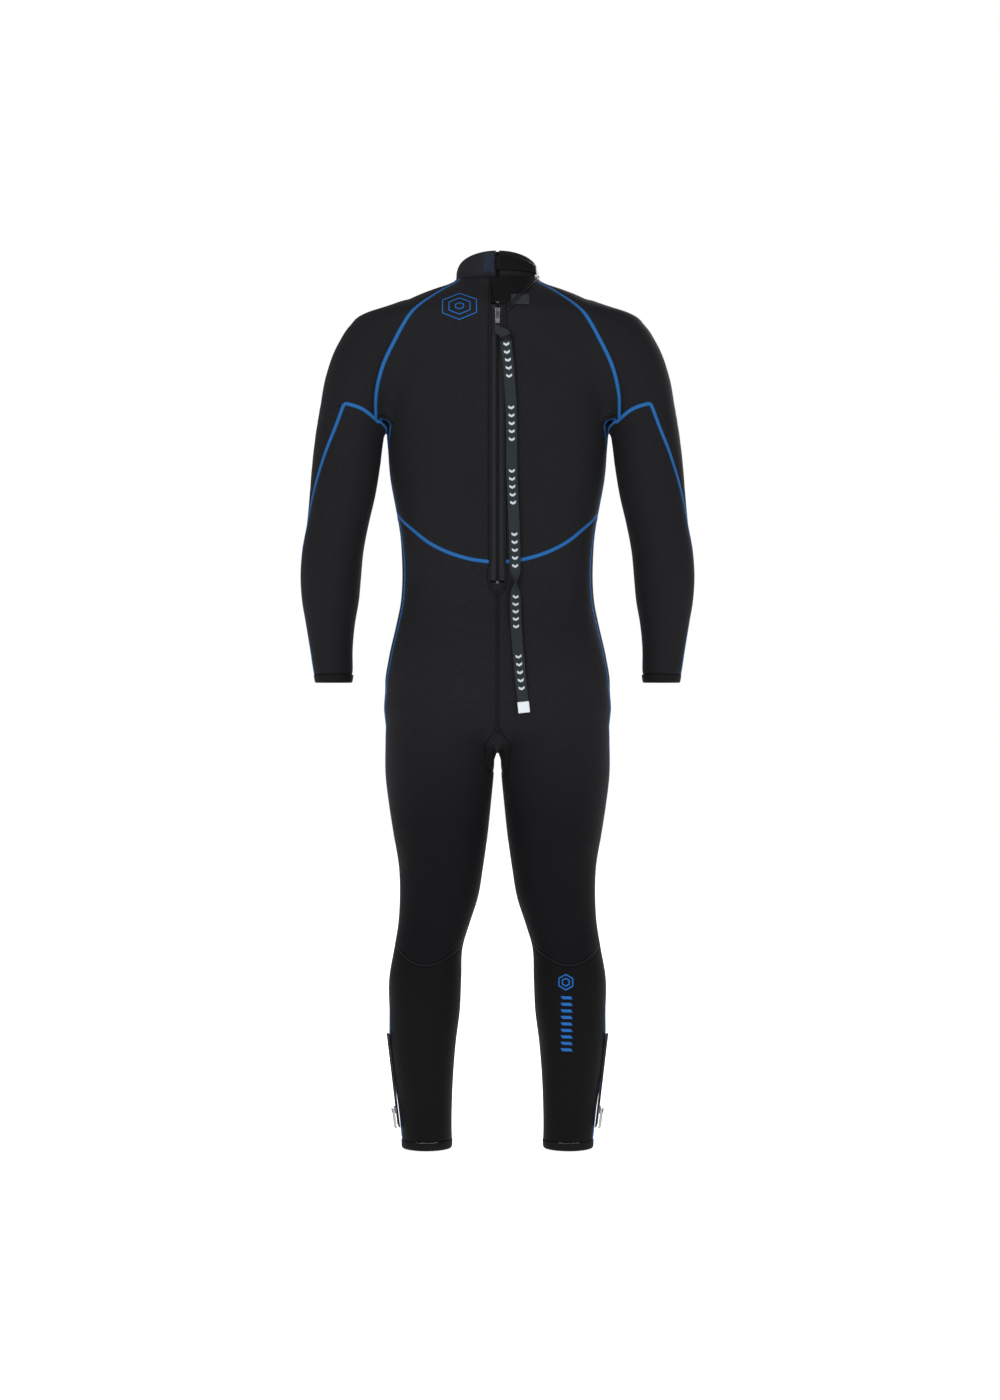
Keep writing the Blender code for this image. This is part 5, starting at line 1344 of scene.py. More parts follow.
    def gusset(self) -> None:
        """Build the small panel between the legs."""
        s = self.cut.seams
        side = chain(s["gusset_back"], s["gusset_front"].reversed())
        other = Seam(side.curve * MIRROR, side.normals * MIRROR)
        z = FORM.crotch_z
        saddle = [FORM.back(0, 0.668), FORM.back(0, 0.656), (0, -0.032, z + 0.006), (0, -0.008, z + 0.001),
                  (0, 0.020, z + 0.006), FORM.front(0, 0.656), FORM.front(0, 0.668)]
        tips = []
        for index in (0, -1):
            tips.append(Seam.through([side.curve[index], saddle[index], side.curve[index] * MIRROR]))
        plan = PanelPlan("crotch_gusset", [side], [other], tips[0], tips[1], [(0.5, saddle)])
        grid, normals = plan.grid()
        item = self.cloth.panel("crotch_gusset_cloth", grid, normals, self.finishes["limb_jersey"])
        self.declare(item, grid)
        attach(item, "suit")
        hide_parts("crotch_gusset")

    def hems(self) -> None:
        """Build the turned hems with their rounded folds."""
        hem = self.cut.hem_height
        for name, limb, low, body in (("wrist_hem", "arm", self.cut.wrist_z, "forearm_"),
                                      ("ankle_hem", "leg", self.cut.ankle_z, "lower_leg_")):
            angles = np.linspace(0, 360, 73)[:-1]
            ring = FORM.rings(limb, np.full(len(angles), low + hem / 2), angles, Region.ARM)
            way = unit(FORM.gradient(ring, Region.ARM) * (1, 1, 0))
            outline = [(0.0, hem), (0.0004, hem - 0.0006), (0.0005, 0.6 * hem), (0.0005, 0.3 * hem), (0.0002,
            0.0012),
                       (-0.0006, 0.0002), (-0.0016, 0.0), (-0.0026, 0.0006), (-0.0030, 0.0016), (
                           -0.0031, 0.4 * hem
                       ),
                       (-0.0030, hem - 0.0003), (-0.0015, hem)]
            slope = (
                FORM.ring(limb, low + hem, 90, Region.ARM)[0] - FORM.ring(
                    limb, low + 0.001, 90, Region.ARM
                )[0]
            ) / hem
            rows = []
            for out, z in outline:
                row = ring + way * (out + slope * (z - hem / 2))
                row[:, 2] = low + z
                rows.append(row)
            count = len(angles)
            points = np.concatenate(rows)
            faces = []
            for i in range(len(rows)):
                k = (i + 1) % len(rows)
                for j in range(count):
                    m = (j + 1) % count
                    faces.append((i * count + j, k * count + j, k * count + m, i * count + m))
            for side in Side:
                mirror = MIRROR if side is Side.LEFT else 1.0
                item = link(name + "_fold_" + side.word, points * mirror, faces, self.finishes["rib_binding"])
                fix_outward(item)
                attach(item, body + side.word)
                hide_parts(name + "_" + side.word)


# ---- stitching -----------------------------------------------------------------------------
@dataclass
class Stitching:
    """Flatlock and plain stitching laid along the seams."""

    cut: Cut
    finishes: Finishes
    joints: Joints = field(default_factory=Joints)
    blue_width: float = 0.0072
    black_width: float = 0.0038
    step: float = 0.0030
    tape: float = 0.0007
    crown_drop: float = 0.0009
    zip_edge_width: float = 0.0042
    zip_edge_lift: float = 0.0005

    def ribbon(
        self, name: str, seam: Seam, width: float, finish: str, flip: bool, lift: float = 0.0003
    ) -> bpy.types.Object:
        """Make a crowned ribbon of stitching along a seam.

        Args:
            name: the piece's name.
            seam: the line it follows.
            width: its full width.
            finish: its material.
            flip: whether it is the left side's.
            lift: how far its middle stands above the form.

        Returns:
            The piece.
        """
        count = max(6, int(round(seam.length() / self.step)))
        line, normals = seam.sample(count)
        across = unit(np.cross(normals, np.gradient(line, axis=0)))
        shares = np.linspace(-1, 1, 7)
        rows = line[:, None] + across[:, None] * (shares * width / 2)[None, :, None]
        crown = lift - self.crown_drop * shares**2 * (width / self.blue_width)
        outer = rows + normals[:, None] * crown[None, :, None]
        outer -= normals[:, None] * self.hollow(rows)[..., None]
        inner = outer - normals[:, None] * self.tape
        way = MIRROR if flip else 1.0
        item = slab(name, outer * way, inner * way, self.finishes[finish])
        along = np.r_[0, np.cumsum(np.linalg.norm(np.diff(line, axis=0), axis=1))]
        uv = np.stack(
            [np.repeat(along[:, None], 7, axis=1), np.repeat((shares[None] + 1) / 2, count + 1, axis=0)],
            axis=2
        )
        set_band_uv(item, np.concatenate([uv.reshape(-1, 2)] * 2))
        return item

    @staticmethod
    def hollow(rows: np.ndarray) -> np.ndarray:
        """Return how far the ribbon's edges stand off a curved form."""
        flat = rows.reshape(-1, 3)
        gap = FORM.distance(flat, Region.TORSO).reshape(rows.shape[:2])
        arm = FORM.distance(flat, Region.ARM).reshape(rows.shape[:2])
        nearest = np.where(np.abs(gap) < np.abs(arm), gap, arm)
        return np.clip(nearest, -0.002, 0.002)

    @staticmethod
    def rounded(seam: Seam, reach: int = 16) -> Seam:
        """Round a seam's corners a little, keeping its ends."""
        points, ways = seam.sample(400)
        for _ in range(reach):
            points[1:-1] = 0.25 * points[:-2] + 0.5 * points[1:-1] + 0.25 * points[2:]
        return Seam(points, ways)

    def build(self) -> None:
        """Lay every line of stitching."""
        s = self.cut.seams
        blue = ("blue_flatlock", self.blue_width)
        black = ("black_flatlock", self.black_width)
        plans = [
            ("raglan_back_stitch", s["raglan_back"], blue, None),
            ("raglan_front_stitch", s["raglan_front"], blue, None),
            ("armpit_stitch", s["armpit_under"], blue, None),
            ("sleeve_back_stitch", self.rounded(chain(s["armpit_back"], s["arm_back"])), blue, "elbow"),
            ("sleeve_front_stitch", s["arm_front"], blue, "elbow"),
            (
                "side_stitch", chain(s["side_upper"], s["side_lower"], s["knee_outer"], s["shin_outer"]),
                blue, "knee"
            ),
            ("waist_back_stitch", s["waist_back"], blue, None),
            ("waist_front_stitch", s["waist_front"], blue, None),
            (
                "neck_stitch", chain(s["neck_end"], s["neck_back"], s["neck_side"], s["neck_front"]), black,
                None
            ),
            ("inseam_stitch", chain(s["inner_thigh"], s["knee_inner"], s["shin_inner"]), black, "knee"),
            ("gusset_back_stitch", chain(s["tip_back"], s["gusset_back"]), black, None),
            ("gusset_front_stitch", chain(s["tip_front"], s["gusset_front"]), black, None),
            ("knee_back_stitch", s["knee_foot_back"], black, "knee"),
            ("knee_front_stitch", s["knee_foot_front"], black, "knee"),
            ("knee_top_stitch", s["knee_top_front"], black, "knee"),
        ]
        for name, seam, (finish, width), joint in plans:
            for side in Side:
                item = self.ribbon(name + "_" + side.word, seam, width, finish, side is Side.LEFT)
                if joint is None:
                    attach(item, "suit")
                else:
                    self.joints.bend(item, joint, side)
        for name, key in (("seat_centre_stitch", "centre_back"), ("belly_centre_stitch", "centre_belly")):
            item = self.ribbon(name, s[key], self.black_width, "black_flatlock", False)
            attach(item, "suit")
        self.zip_edges()

    def zip_edges(self) -> None:
        """Lay the stitched strips down both sides of the zip and round its foot."""
        s = self.cut.seams
        edge = chain(s["zip_side"], s["zip_foot"])
        for side in Side:
            name = "zip_edge_stitch_" + side.word
            item = self.ribbon(name, edge, self.zip_edge_width, "black_flatlock", side is Side.LEFT,
                               self.zip_edge_lift)
            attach(item, "suit")


# ---- camera, light and floor ---------------------------------------------------------------
@dataclass
class Studio:
    """The camera, the soft lights and the pale floor."""

    distance: float = 4.2
    height: float = 0.72
    view_height: float = 2.24
    room_glow: float = 0.50
    floor_glow: float = 0.85
    floor_half: float = 9.0
    floor_drop: float = 0.002

    def place_camera(self) -> None:
        """Make the camera, level with the middle of the suit and behind its back."""
        data = bpy.data.cameras.new("camera")
        data.sensor_fit = "VERTICAL"
        data.sensor_height = 24.0
        data.lens = 24.0 * (self.distance - 0.05) / self.view_height
        camera = bpy.data.objects.new("camera", data)
        camera.location = (0.004, -self.distance, self.height)
        camera.rotation_euler = (math.pi / 2, 0, 0)
        bpy.context.scene.collection.objects.link(camera)
        bpy.context.scene.camera = camera

    def light(self, name: str, place: tuple, size: float, power: float) -> None:
        """Add a square soft light that faces the middle of the suit."""
        data = bpy.data.lights.new(name, "AREA")
        data.size = size
        data.energy = power
        lamp = bpy.data.objects.new(name, data)
        lamp.location = place
        way = Vector((0.0, 0.0, 0.75)) - Vector(place)
        lamp.rotation_euler = way.to_track_quat("-Z", "Y").to_euler()
        bpy.context.scene.collection.objects.link(lamp)

    def build(self) -> None:
        """Make the world, the lights and the floor."""
        scene = bpy.context.scene
        scene.view_settings.view_transform = "Standard"
        world = bpy.data.worlds.new("pale_room")
        world.use_nodes = True
        background = world.node_tree.nodes["Background"]
        background.inputs[0].default_value = (1, 1, 1, 1)
        path = world.node_tree.nodes.new("ShaderNodeLightPath")
        seen = world.node_tree.nodes.new("ShaderNodeMapRange")
        seen.inputs["To Min"].default_value = self.room_glow
        world.node_tree.links.new(path.outputs["Is Camera Ray"], seen.inputs["Value"])
        world.node_tree.links.new(seen.outputs[0], background.inputs[1])
        scene.world = world
        self.light("key_light", (-1.8, -3.0, 2.9), 1.6, 100)
        self.light("fill_light", (2.4, -3.0, 1.9), 1.8, 60)
        self.light("chest_light", (1.6, 3.0, 2.4), 1.8, 60)
        material, _, shader = surface("pale_floor", (0.93, 0.93, 0.93), 0.9)
        shader.inputs["Emission Color"].default_value = (1, 1, 1, 1)
        shader.inputs["Emission Strength"].default_value = self.floor_glow
        corners = ((-1, -1), (1, -1), (1, 1), (-1, 1))
        points = np.array([(x * self.floor_half, y * self.floor_half, -self.floor_drop) for x, y in corners])
        floor = link("floor", points, [(0, 1, 2, 3)], material, smooth=False)


# ---- the leash -----------------------------------------------------------------------------
@dataclass
class Leash:
    """The flat webbing leash that hangs from the zip pull."""

    finishes: Finishes
    width: float = 0.0176
    thickness: float = 0.0016
    pull_axis: tuple = (0.0, -0.10663374, 1.33388747)
    down: tuple = (0.0, 0.03215192, -0.99948299)
    twist_at: float = 0.66
    exit_reach: float = 0.0194
    stops: tuple = ((0.0085, 1.300, 0.0052), (0.0150, 1.270, 0.0052), (0.0190, 1.225, 0.0050),
                    (0.0216, 1.184, 0.0050), (0.0228, 1.080, 0.0050), (0.0270, 0.976, 0.0052),
                    (0.0285, 0.898, 0.0056), (0.0290, 0.845, 0.0056), (0.0340, 0.778, 0.0054),
                    (0.0420, 0.700, 0.0054))

    def route(self) -> np.ndarray:
        """Return the leash's centreline."""
        down = np.array(self.down)
        start = np.array(self.pull_axis) + down * (0.020 - 0.0006 + 0.0022)
        points = [start, start + down * 0.008]
        for x, z, lift in self.stops:
            points.append(FORM.back(x, z) + np.array([0.0, -lift, 0.0]))
        return evenly(smooth_curve(points), 250)

    def build(self) -> None:
        """Build the webbing with its twist, its stitched top loop and its tip."""
        line = self.route()
        tangents = unit(np.gradient(line, axis=0))
        outward = np.array([0.0, -1.0, 0.0])
        across = unit(np.cross(outward, tangents))
        normal = unit(np.cross(tangents, across))
        along = np.r_[0, np.cumsum(np.linalg.norm(np.diff(line, axis=0), axis=1))]
        share = along / along[-1]
        turn = math.pi / (1 + np.exp(-(share - self.twist_at) * 75))
        edge_on = np.exp(-(((share - self.twist_at) / 0.022) ** 2))
        lean = 0.10 * np.sin(share * 17.0) * (1 - edge_on)
        half = np.full(len(line), self.width / 2) * (1 - 0.30 * edge_on)
        half *= 0.47 + 0.53 * ramp(share, 0.004, 0.035)
        line = line + outward * (0.0026 * edge_on)[:, None]
        side = across * np.cos(turn + lean)[:, None] + normal * np.sin(turn + lean)[:, None]
        face = unit(np.cross(side, tangents))
        shares = np.linspace(-1, 1, 9)
        rows = line[:, None] + side[:, None] * (half[:, None] * shares[None])[..., None]
        rows = rows + face[:, None] * (0.0010 * edge_on[:, None] * (shares[None] ** 2))[..., None]
        depth = (self.thickness / 2) * (1 - 0.35 * shares**6)
        outer = rows + face[:, None] * depth[None, :, None]
        inner = rows - face[:, None] * depth[None, :, None]
        item = slab("leash_webbing", outer, inner, self.finishes["leash_weave"])
        uv = np.stack(
            [np.repeat(along[:, None], 9, axis=1), np.repeat((shares[None] + 1) / 2, len(line), axis=0)],
            axis=2
        )
        set_band_uv(item, np.concatenate([uv.reshape(-1, 2)] * 2))
        pieces = [self.tip(outer, inner), self.bar_tack(outer, inner)]
        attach(item, "zip_pull")
        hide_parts("leash")

    def tip(self, outer: np.ndarray, inner: np.ndarray) -> bpy.types.Object:
        """Wrap the webbing's end in a light stitched tip."""
        return self.wrap("leash_tip", outer[-8:], inner[-8:], "tip_light", 0.0003)

    def bar_tack(self, outer: np.ndarray, inner: np.ndarray) -> bpy.types.Object:
        """Sew the loop at the webbing's top with a dense bar of thread."""
        return self.wrap("leash_bar_tack", outer[10:14], inner[10:14], "black_flatlock", 0.0003)

    def wrap(
        self, name: str, outer: np.ndarray, inner: np.ndarray, finish: str, out: float
    ) -> bpy.types.Object:
        """Wrap a stretch of webbing in a thin sleeve that stands a little proud."""
        way = unit(outer - inner)
        wide = 1 + 2 * out / self.width
        middle = outer.mean(axis=1, keepdims=True)
        first = middle + (outer - middle) * wide + way * out
        middle = inner.mean(axis=1, keepdims=True)
        second = middle + (inner - middle) * wide - way * out
        item = slab(name, first, second, self.finishes[finish])
        rows, cols, _ = outer.shape
        uv = np.stack(np.meshgrid(np.arange(rows) * 0.0025, np.linspace(0, 1, cols), indexing="ij"), axis=2)
        set_band_uv(item, np.concatenate([uv.reshape(-1, 2)] * 2))
        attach(item, "zip_pull")
        return item


# ---- collar and neck -----------------------------------------------------------------------
@dataclass
class Collar:
    """The collar's halves, its closure tab, loop patch and label, and the neck opening."""

    cut: Cut
    finishes: Finishes
    thickness: float = 0.0030

    def strip(
        self, span: tuple, margins: tuple, columns: int, rows: int = 7
    ) -> tuple[np.ndarray, np.ndarray]:
        """Return a grid and its normals round the neck, between margins below the rim and above the base."""
        angles = np.linspace(span[0], span[1], columns)
        high = np.array([self.cut.neck_height(self.cut.collar_rim, abs(d)) for d in angles]) - margins[0]
        low = np.array([self.cut.neck_height(self.cut.collar_base, abs(d)) for d in angles]) + margins[1]
        heights = high[None] + (low - high)[None] * np.linspace(0, 1, rows)[:, None]
        grid = FORM.rings("neck", heights.ravel(), np.tile(angles, rows)).reshape(rows, columns, 3)
        ways = form_normals(grid)
        return grid, ways

    def patch(
        self, name: str, strip: tuple, clear: float, thick: float, finish: str, slot: str
    ) -> bpy.types.Object:
        """Make a soft-edged patch that stands off the collar.

        Args:
            name: the piece's name.
            strip: its grid and normals.
            clear: its gap to the collar.
            thick: its thickness.
            finish: its material.
            slot: not used.

        Returns:
            The piece.
        """
        grid, ways = strip
        rows, cols, _ = grid.shape
        u = np.minimum(np.arange(cols), np.arange(cols)[::-1])[None] / 2.0
        v = np.minimum(np.arange(rows), np.arange(rows)[::-1])[:, None] / 1.0
        full = np.clip(np.minimum(u, v), 0.25, 1.0) ** 0.5
        item = slab(
            name, grid + ways * (clear + thick * full)[..., None], grid + ways * clear, self.finishes[finish]
        )
        return item

    def build(self) -> None:
        """Build every piece of the collar and the neck opening."""
        self.halves()
        tab = self.patch("closure_tab_cloth", self.strip((-2.5, 66.0), (0.008, 0.009), 40), 0.0013, 0.0022,
                         "flap_jersey", "neoprene_black")
        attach(tab, "collar_tab")
        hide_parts("collar_closure_tab")
        self.declare(tab, (0.075, 0.024))
        outline = self.tab_outline()
        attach(outline, "collar_tab")
        patch = self.patch("loop_patch_pile", self.strip((-20.0, -4.5), (0.004, 0.006), 14), 0.0005, 0.0016,
                           "loop_pile", "loop_navy")
        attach(patch, "suit")
        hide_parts("collar_loop_patch")
        label = self.patch("neck_label_cloth", self.strip((63.0, 79.0), (0.006, 0.004), 12), 0.0006, 0.0008,
                           "label_cloth", "label_white")
        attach(label, "suit")
        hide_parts("neck_label")
        self.backing()
        self.opening()
        self.overlap()
        self.zip_foot()
        self.keeper()

    def declare(self, item: bpy.types.Object, flat: tuple) -> None:
        """Take a patch and its real area; nothing is done with them."""

    def halves(self) -> None:
        """Build both halves of the collar with rolled rims."""
        s = self.cut.seams
        for side in Side:
            base = chain(s["neck_end"], s["neck_back"], s["neck_side"], s["neck_front"]).sample(96)
            rim = s["rim"].sample(96)
            shares = np.linspace(0, 1, 12)[:, None, None]
            grid = rim[0][None] * (1 - shares) + base[0][None] * shares
            flat = FORM.project(grid.reshape(-1, 3), Region.TORSO)
            ways = unit(FORM.gradient(flat, Region.TORSO)).reshape(grid.shape)
            grid = flat.reshape(grid.shape)
            grid[-1] = base[0]
            way = MIRROR if side is Side.LEFT else 1.0
            roll = np.array(
                [-0.0010, -0.0003, 0.0, 0.0003, 0.0003, 0.0002, 0.0, 0.0, -0.0002, -0.0004, -0.0007, -0.0011]
            )
            outer = grid + ways * roll[:, None, None]
            inner = grid - ways * self.thickness
            inner[0] += ways[0] * 0.0010
            finish = "collar_grey" if side is Side.LEFT else "limb_jersey"
            item = slab("collar_cloth_" + side.word, outer * way, inner * way, self.finishes[finish])
            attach(item, "suit")
            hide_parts("collar_" + side.word)

    def tab_outline(self) -> bpy.types.Object:
        """Sew a fine outline of thread round the closure tab."""
        grid, ways = self.strip((2.0, 61.0), (0.0105, 0.0115), 48, 9)
        loop = np.concatenate([grid[0], grid[1:, -1], grid[-1, -2::-1], grid[-2:0:-1, 0]])
        way = np.concatenate([ways[0], ways[1:, -1], ways[-1, -2::-1], ways[-2:0:-1, 0]])
        return thread_loop("closure_tab_stitch", loop, way, (0.0036, 0.0010), self.finishes["piping_rubber"])

    def piping(self, name: str, points: list, radius: float, lift: float, finish: str) -> bpy.types.Object:
        """Lay a round piping along points on the form, closed at both ends."""
        line = evenly(FORM.project(smooth_curve(points), Region.TORSO), 70)
        ways = unit(FORM.gradient(line, Region.TORSO))
        tangents = unit(np.gradient(line, axis=0))
        across = unit(np.cross(ways, tangents))
        rings = []
        for index, point in enumerate(line):
            share = min(index, len(line) - 1 - index) / 3.0
            size = radius * min(1.0, 0.35 + 0.65 * share)
            for angle in np.linspace(0, 2 * math.pi, 9)[:-1]:
                rings.append(
                    point + across[index] * math.cos(angle) * size + ways[index] * (
                        lift + math.sin(angle) * size
                    )
                )
        faces = [(i * 8 + j, i * 8 + (j + 1) % 8, (i + 1) * 8 + (j + 1) % 8, (i + 1) * 8 + j)
                 for i in range(len(line) - 1) for j in range(8)]
        faces.append(tuple(range(7, -1, -1)))
        faces.append(tuple((len(line) - 1) * 8 + j for j in range(8)))
        item = link(name, np.array(rings), faces, self.finishes[finish])
        fix_outward(item)
        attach(item, "suit")
        return item

    def opening(self) -> None:
        """Build the flap under the opening and the piping that runs down to the zip."""
        heights = np.linspace(self.cut.collar_base[0] - 0.002, 1.349, 22)
        grid = np.array([[FORM.back(x, z) for x in np.linspace(-0.0112, 0.0112, 9)] for z in heights])
        ways = form_normals(grid)
        item = slab(
            "neck_flap_cloth", grid - ways * 0.0006, grid - ways * 0.0028, self.finishes["flap_jersey"]
        )
        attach(item, "suit")
        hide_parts("neck_flap")
        self.declare(item, (0.024, 0.044))
        for index, shift in enumerate((0.0, 0.0062)):
            stops = [(0.0700 - 0.2 * shift, 1.4015 - shift), (0.0560, 1.3840 - shift), (0.0400,
            1.3650 - shift),
                     (0.0250, 1.3490 - shift), (0.0140, 1.3370 - 0.6 * shift)]
            self.piping("neck_piping_%d" % (index + 1), [FORM.back(x * 0.93, z) for x, z in stops], 0.0017,
            0.0020,
                        "piping_rubber")

    def backing(self) -> None:
        """Build the flap inside the collar's opening, so that the halves close over cloth."""
        grid, ways = self.strip((-9.0, 9.0), (0.0012, -0.004), 12)
        item = slab(
            "collar_backing", grid - ways * 0.0036, grid - ways * 0.0056, self.finishes["flap_jersey"]
        )
        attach(item, "suit")
        self.declare(item, (0.021, 0.040))

    def overlap(self) -> None:
        """Build the three-cornered overlap between the collar and the top of the zip."""
        rows = []
        for share in np.linspace(0, 1, 18):
            left = -0.0125 + 0.0095 * share
            right = 0.0640 * (1 - share) ** 0.92 + 0.0020
            z_left = 1.3925 - 0.0480 * share
            z_right = 1.3965 - 0.0560 * share
            rows.append([FORM.back(left + (right - left) * t, z_left + (z_right - z_left) * t)
                         for t in np.linspace(0, 1, 18)])
        grid = np.array(rows)
        ways = form_normals(grid)
        item = slab(
            "neck_overlap_cloth", grid + ways * 0.0016, grid + ways * 0.0004, self.finishes["flap_jersey"]
        )
        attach(item, "suit")

    def zip_foot(self) -> None:
        """Build the cloth that shows inside the rounded foot of the zip opening."""
        grid = np.array(
            [
                [FORM.back(x, z) for x in np.linspace(-0.0118, 0.0118, 9)]
                for z in np.linspace(0.9070, 0.8885, 9)
            ]
        )
        ways = form_normals(grid)
        x = np.abs(grid[..., 0])
        tuck = 0.0008 + 0.0030 * ramp(x + (0.9070 - grid[..., 2]) * 0.5, 0.0150, 0.0190)
        item = slab("zip_foot_cloth", grid - ways * tuck[..., None], grid - ways * (tuck + 0.0015)[..., None],
                    self.finishes["back_jersey"])
        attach(item, "suit")
        self.declare(item, (0.0236, 0.0185))

    def keeper(self) -> None:
        """Build the webbing keeper beside the top of the zip, sewn at both ends."""
        grid = np.array([[FORM.back(x, z) for x in np.linspace(0.0215, 0.0505, 13)]
                         for z in np.linspace(1.36125, 1.34475, 7)])
        ways = form_normals(grid)
        bow = 0.0008 + 0.0007 * np.sin(np.linspace(0, math.pi, 13)) ** 0.7
        outer = grid + ways * (bow + 0.0012)[None, :, None]
        item = slab("keeper_webbing", outer, grid + ways * bow[None, :, None], self.finishes["keeper_weave"])
        u = np.repeat(np.linspace(0, 0.029, 13)[None], 7, axis=0)
        v = np.repeat(np.linspace(0, 1, 7)[:, None], 13, axis=1)
        set_band_uv(item, np.concatenate([np.stack([u, v], axis=2).reshape(-1, 2)] * 2))
        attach(item, "suit")
        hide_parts("leash_keeper")
        self.declare(item, (0.029, 0.0165))


# ---- printed and stitched marks ------------------------------------------------------------
@dataclass
class Marks:
    """Plain marks in blue: a stitched hexagon on the shoulder blade and a print on the calf."""

    finishes: Finishes
    shoulder: tuple = (-0.060, 1.343, 0.031, 0.0215)
    calf: tuple = (0.1085, 0.272, 0.0125, 0.0120)
    bars: int = 9
    bar_top: float = 0.250
    bar_pitch: float = 0.0104

    def hexagon(self, name: str, place: tuple, share: float, size: tuple, body: str) -> None:
        """Lay one hexagon outline on the back of the form at a share of its size."""
        x, z, wide, tall = place
        corners = [(x + wide * share * math.sin(a), z + tall * share * math.cos(a))
                   for a in np.linspace(0, 2 * math.pi, 7)]
        points = []
        for (xa, za), (xb, zb) in zip(corners[:-1], corners[1:]):
            points += [FORM.back(xa + (xb - xa) * t, za + (zb - za) * t) for t in np.linspace(0, 1, 11)[:-1]]
        line = np.array(points)
        ways = unit(FORM.gradient(line, Region.TORSO))
        item = thread_loop(name, line, ways, size, self.finishes["print_blue"])
        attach(item, body)

    def build(self) -> None:
        """Build every mark."""
        self.hexagon("shoulder_mark_outer", self.shoulder, 1.0, (0.0002, 0.0016), "suit")
        self.hexagon("shoulder_mark_inner", self.shoulder, 0.62, (0.0002, 0.0016), "suit")
        self.hexagon("shoulder_mark_core", self.shoulder, 0.24, (0.0002, 0.0016), "suit")
        self.hexagon("calf_mark_outer", self.calf, 1.0, (0.0001, 0.0024), "lower_leg_right")
        self.hexagon("calf_mark_inner", self.calf, 0.50, (0.0001, 0.0024), "lower_leg_right")
        for index in range(self.bars):
            high = self.bar_top - index * self.bar_pitch
            rows = []
            for z in np.linspace(high, high - 0.0048, 4):
                lean = (high - z) * 0.6
                rows.append([FORM.back(x + lean, z) for x in np.linspace(0.1000, 0.1165, 9)])
            grid = np.array(rows)
            ways = form_normals(grid)
            item = slab(
                "calf_bar_%02d" % (index + 1), grid + ways * 0.0003, grid - ways * 0.0004,
                self.finishes["print_blue"]
            )
            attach(item, "lower_leg_right")


# ---- zips ----------------------------------------------------------------------------------
@dataclass(frozen=True)
class Rail:
    """A straight zip line: its slider's rest place, its direction down and across."""

    origin: tuple
    down: tuple
    across: tuple

    def matrix(self, side: Side) -> Matrix:
        """Return the rail's frame as a matrix: x across, y down, z outwards."""
        across = Vector(self.across)
        down = Vector(self.down)
        out = down.cross(across)
        frame_at = Matrix((across, down, out)).transposed().to_4x4()
        frame_at.translation = Vector(self.origin)
        if side is Side.LEFT:
            return Matrix.Diagonal((-1, 1, 1, 1)) @ frame_at
        return frame_at


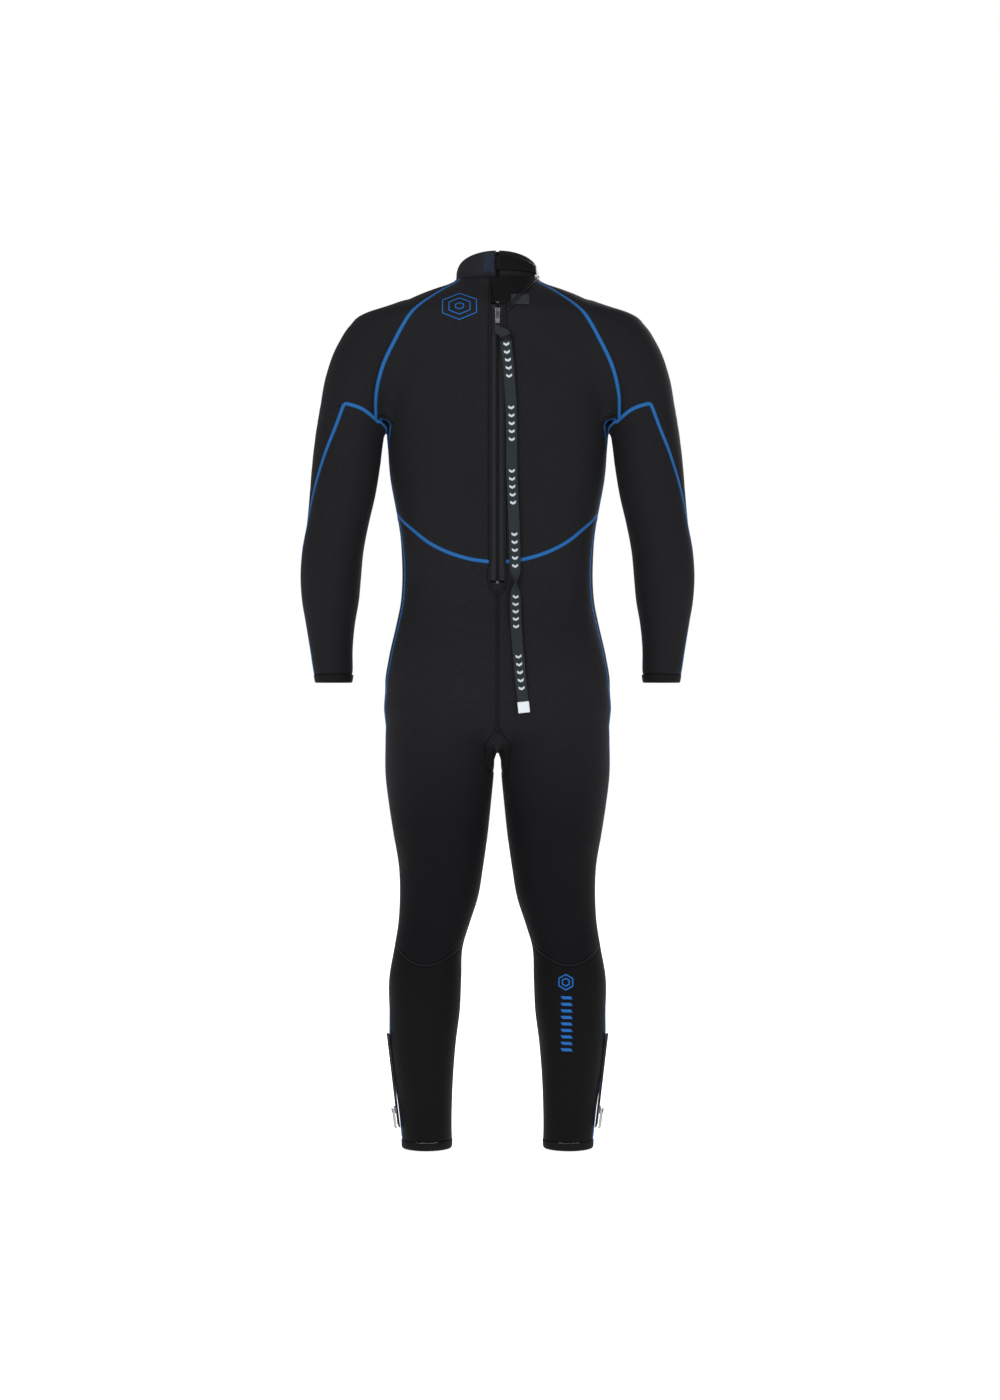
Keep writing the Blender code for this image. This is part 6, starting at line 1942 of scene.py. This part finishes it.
@dataclass
class Zips:
    """The toothed coils, and the softened sliders, pulls, tabs and stops."""

    finishes: Finishes
    back: Rail = Rail((0.0, -0.10313555, 1.334), (0.0, 0.03215192, -0.99948299), (1.0, 0.0, 0.0))
    ankle: Rail = Rail((0.16080679, -0.03479364, 0.063), (-0.11463474, 0.05333507, -0.99197492),
                       (0.25512811, 0.96664567, 0.02249006))

    def teeth(self, name: str, size: tuple, start: tuple, pitch: float, count: int) -> bpy.types.Object:
        """Model one tooth, bevel it and repeat it down the rail.

        Args:
            name: the piece's name.
            size: the tooth's width across, length down and height.
            start: the first tooth's centre in the rail's frame.
            pitch: the distance between teeth.
            count: how many there are.

        Returns:
            The row of teeth in the rail's frame.
        """
        bpy.ops.object.select_all(action="DESELECT")
        bpy.ops.mesh.primitive_cube_add(size=1.0, location=(0, 0, 0))
        item = bpy.context.active_object
        item.name = name
        item.data.name = name
        bpy.ops.object.mode_set(mode="EDIT")
        bpy.ops.mesh.select_all(action="SELECT")
        bpy.ops.transform.resize(value=size)
        bpy.ops.mesh.bevel(offset=0.3 * min(size), segments=1, affect="EDGES")
        bpy.ops.transform.translate(value=start)
        bpy.ops.object.mode_set(mode="OBJECT")
        row = item.modifiers.new("row", "ARRAY")
        row.use_relative_offset = False
        row.use_constant_offset = True
        row.constant_offset_displace = (0, pitch, 0)
        row.count = count
        apply_modifiers(item)
        item.data.materials.append(self.finishes["coil_nylon"])
        item.data.shade_smooth()
        return item

    def place(self, item: bpy.types.Object, rail: Rail, side: Side, slot: str) -> None:
        """Put a piece made in the rail's frame in its place."""
        item.data.transform(rail.matrix(side))
        if side is Side.LEFT:
            item.data.flip_normals()

    def soften(self, node: str, finish: str, body: str, width: float) -> None:
        """Replace a hard-edged CAD node with a copy that has rounded edges."""
        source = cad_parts[node]
        mesh = source.data.copy()
        item = bpy.data.objects.new(node + "_rounded", mesh)
        mesh.transform(source.matrix_world)
        bpy.context.scene.collection.objects.link(item)
        shape = bmesh.new()
        shape.from_mesh(mesh)
        bmesh.ops.remove_doubles(shape, verts=shape.verts[:], dist=1e-6)
        bmesh.ops.dissolve_limit(
            shape, angle_limit=math.radians(3), verts=shape.verts[:], edges=shape.edges[:]
        )
        shape.to_mesh(mesh)
        shape.free()
        bevel = item.modifiers.new("rounded", "BEVEL")
        bevel.width = width
        bevel.segments = 3
        bevel.limit_method = "ANGLE"
        bevel.angle_limit = math.radians(40)
        apply_modifiers(item)
        mesh = item.data
        mesh.materials.clear()
        mesh.materials.append(self.finishes[finish])
        mesh.shade_smooth()
        mesh.set_sharp_from_angle(angle=math.radians(45))
        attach(item, body)
        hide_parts(node)

    def build(self) -> None:
        """Build the coils and the hardware."""
        length = 1.345 - 0.909
        for side in Side:
            shift = 0.00035 * side.value
            coil = self.teeth("zip_teeth_" + side.word, (0.0021, 0.0009, 0.0024), (0.00125, -0.0106 + shift,
            -0.0006),
                              0.00136, int(length / 0.00136))
            self.place(coil, self.back, side, "zip_nylon")
            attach(coil, "suit")
            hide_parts("zip_coil_" + side.word)
            chain_row = self.teeth(
                "ankle_teeth_" + side.word, (0.0032, 0.0008, 0.0018), (0.0, -0.1230, 0.0021), 0.00128, 116
            )
            self.place(chain_row, self.ankle, side, "zip_nylon")
            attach(chain_row, "lower_leg_" + side.word)
            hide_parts("ankle_zip_coil_" + side.word)
            self.soften(
                "ankle_slider_" + side.word, "zip_metal_finish", "ankle_slider_" + side.word,
                0.0003
            )
            self.soften(
                "ankle_tab_" + side.word, "tab_moulding", "ankle_tab_" + side.word, 0.0009
            )
            self.soften("zip_top_stop_" + side.word, "zip_metal_finish", "suit", 0.0003)
        self.soften("zip_bottom_stop", "zip_metal_finish", "suit", 0.0003)
        self.soften("zip_slider", "zip_metal_finish", "zip_slider", 0.0003)
        self.soften("zip_pull", "zip_metal_finish", "zip_pull", 0.0003)


# ---- main ----------------------------------------------------------------------------------
def dress_nodes(finishes: Finishes) -> None:
    """Give every CAD node that stays its finish."""
    wanted = {
        "zip_tape": "zip_tape_weave", "zip_coil": "coil_nylon", "zip_top_stop": "zip_metal_finish",
        "zip_bottom_stop": "zip_metal_finish", "zip_slider": "zip_metal_finish",
        "zip_pull": "zip_metal_finish",
        "ankle_zip_tape": "zip_tape_weave", "ankle_zip_coil": "coil_nylon",
        "ankle_slider": "zip_metal_finish",
        "ankle_tab": "tab_moulding", "zip_inner_flap": "flap_jersey",
    }
    for name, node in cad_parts.items():
        stem = name.replace("_left", "").replace("_right", "")
        if stem in wanted:
            node.data.materials.clear()
            node.data.materials.append(finishes[wanted[stem]])


def main() -> None:
    """Build the suit, piece by piece."""
    logging.basicConfig(level=logging.INFO, format="%(name)s: %(message)s")
    bpy.ops.object.select_all(action="DESELECT")
    studio = Studio()
    studio.place_camera()
    finishes = Finishes()
    finishes.make()
    Leash(finishes).build()
    cut = Cut()
    cut.draw()
    Shell(cut, finishes).build()
    Stitching(cut, finishes).build()
    Collar(cut, finishes).build()
    Marks(finishes).build()
    Zips(finishes).build()
    dress_nodes(finishes)
    studio.build()


if __name__ == "__main__":
    main()
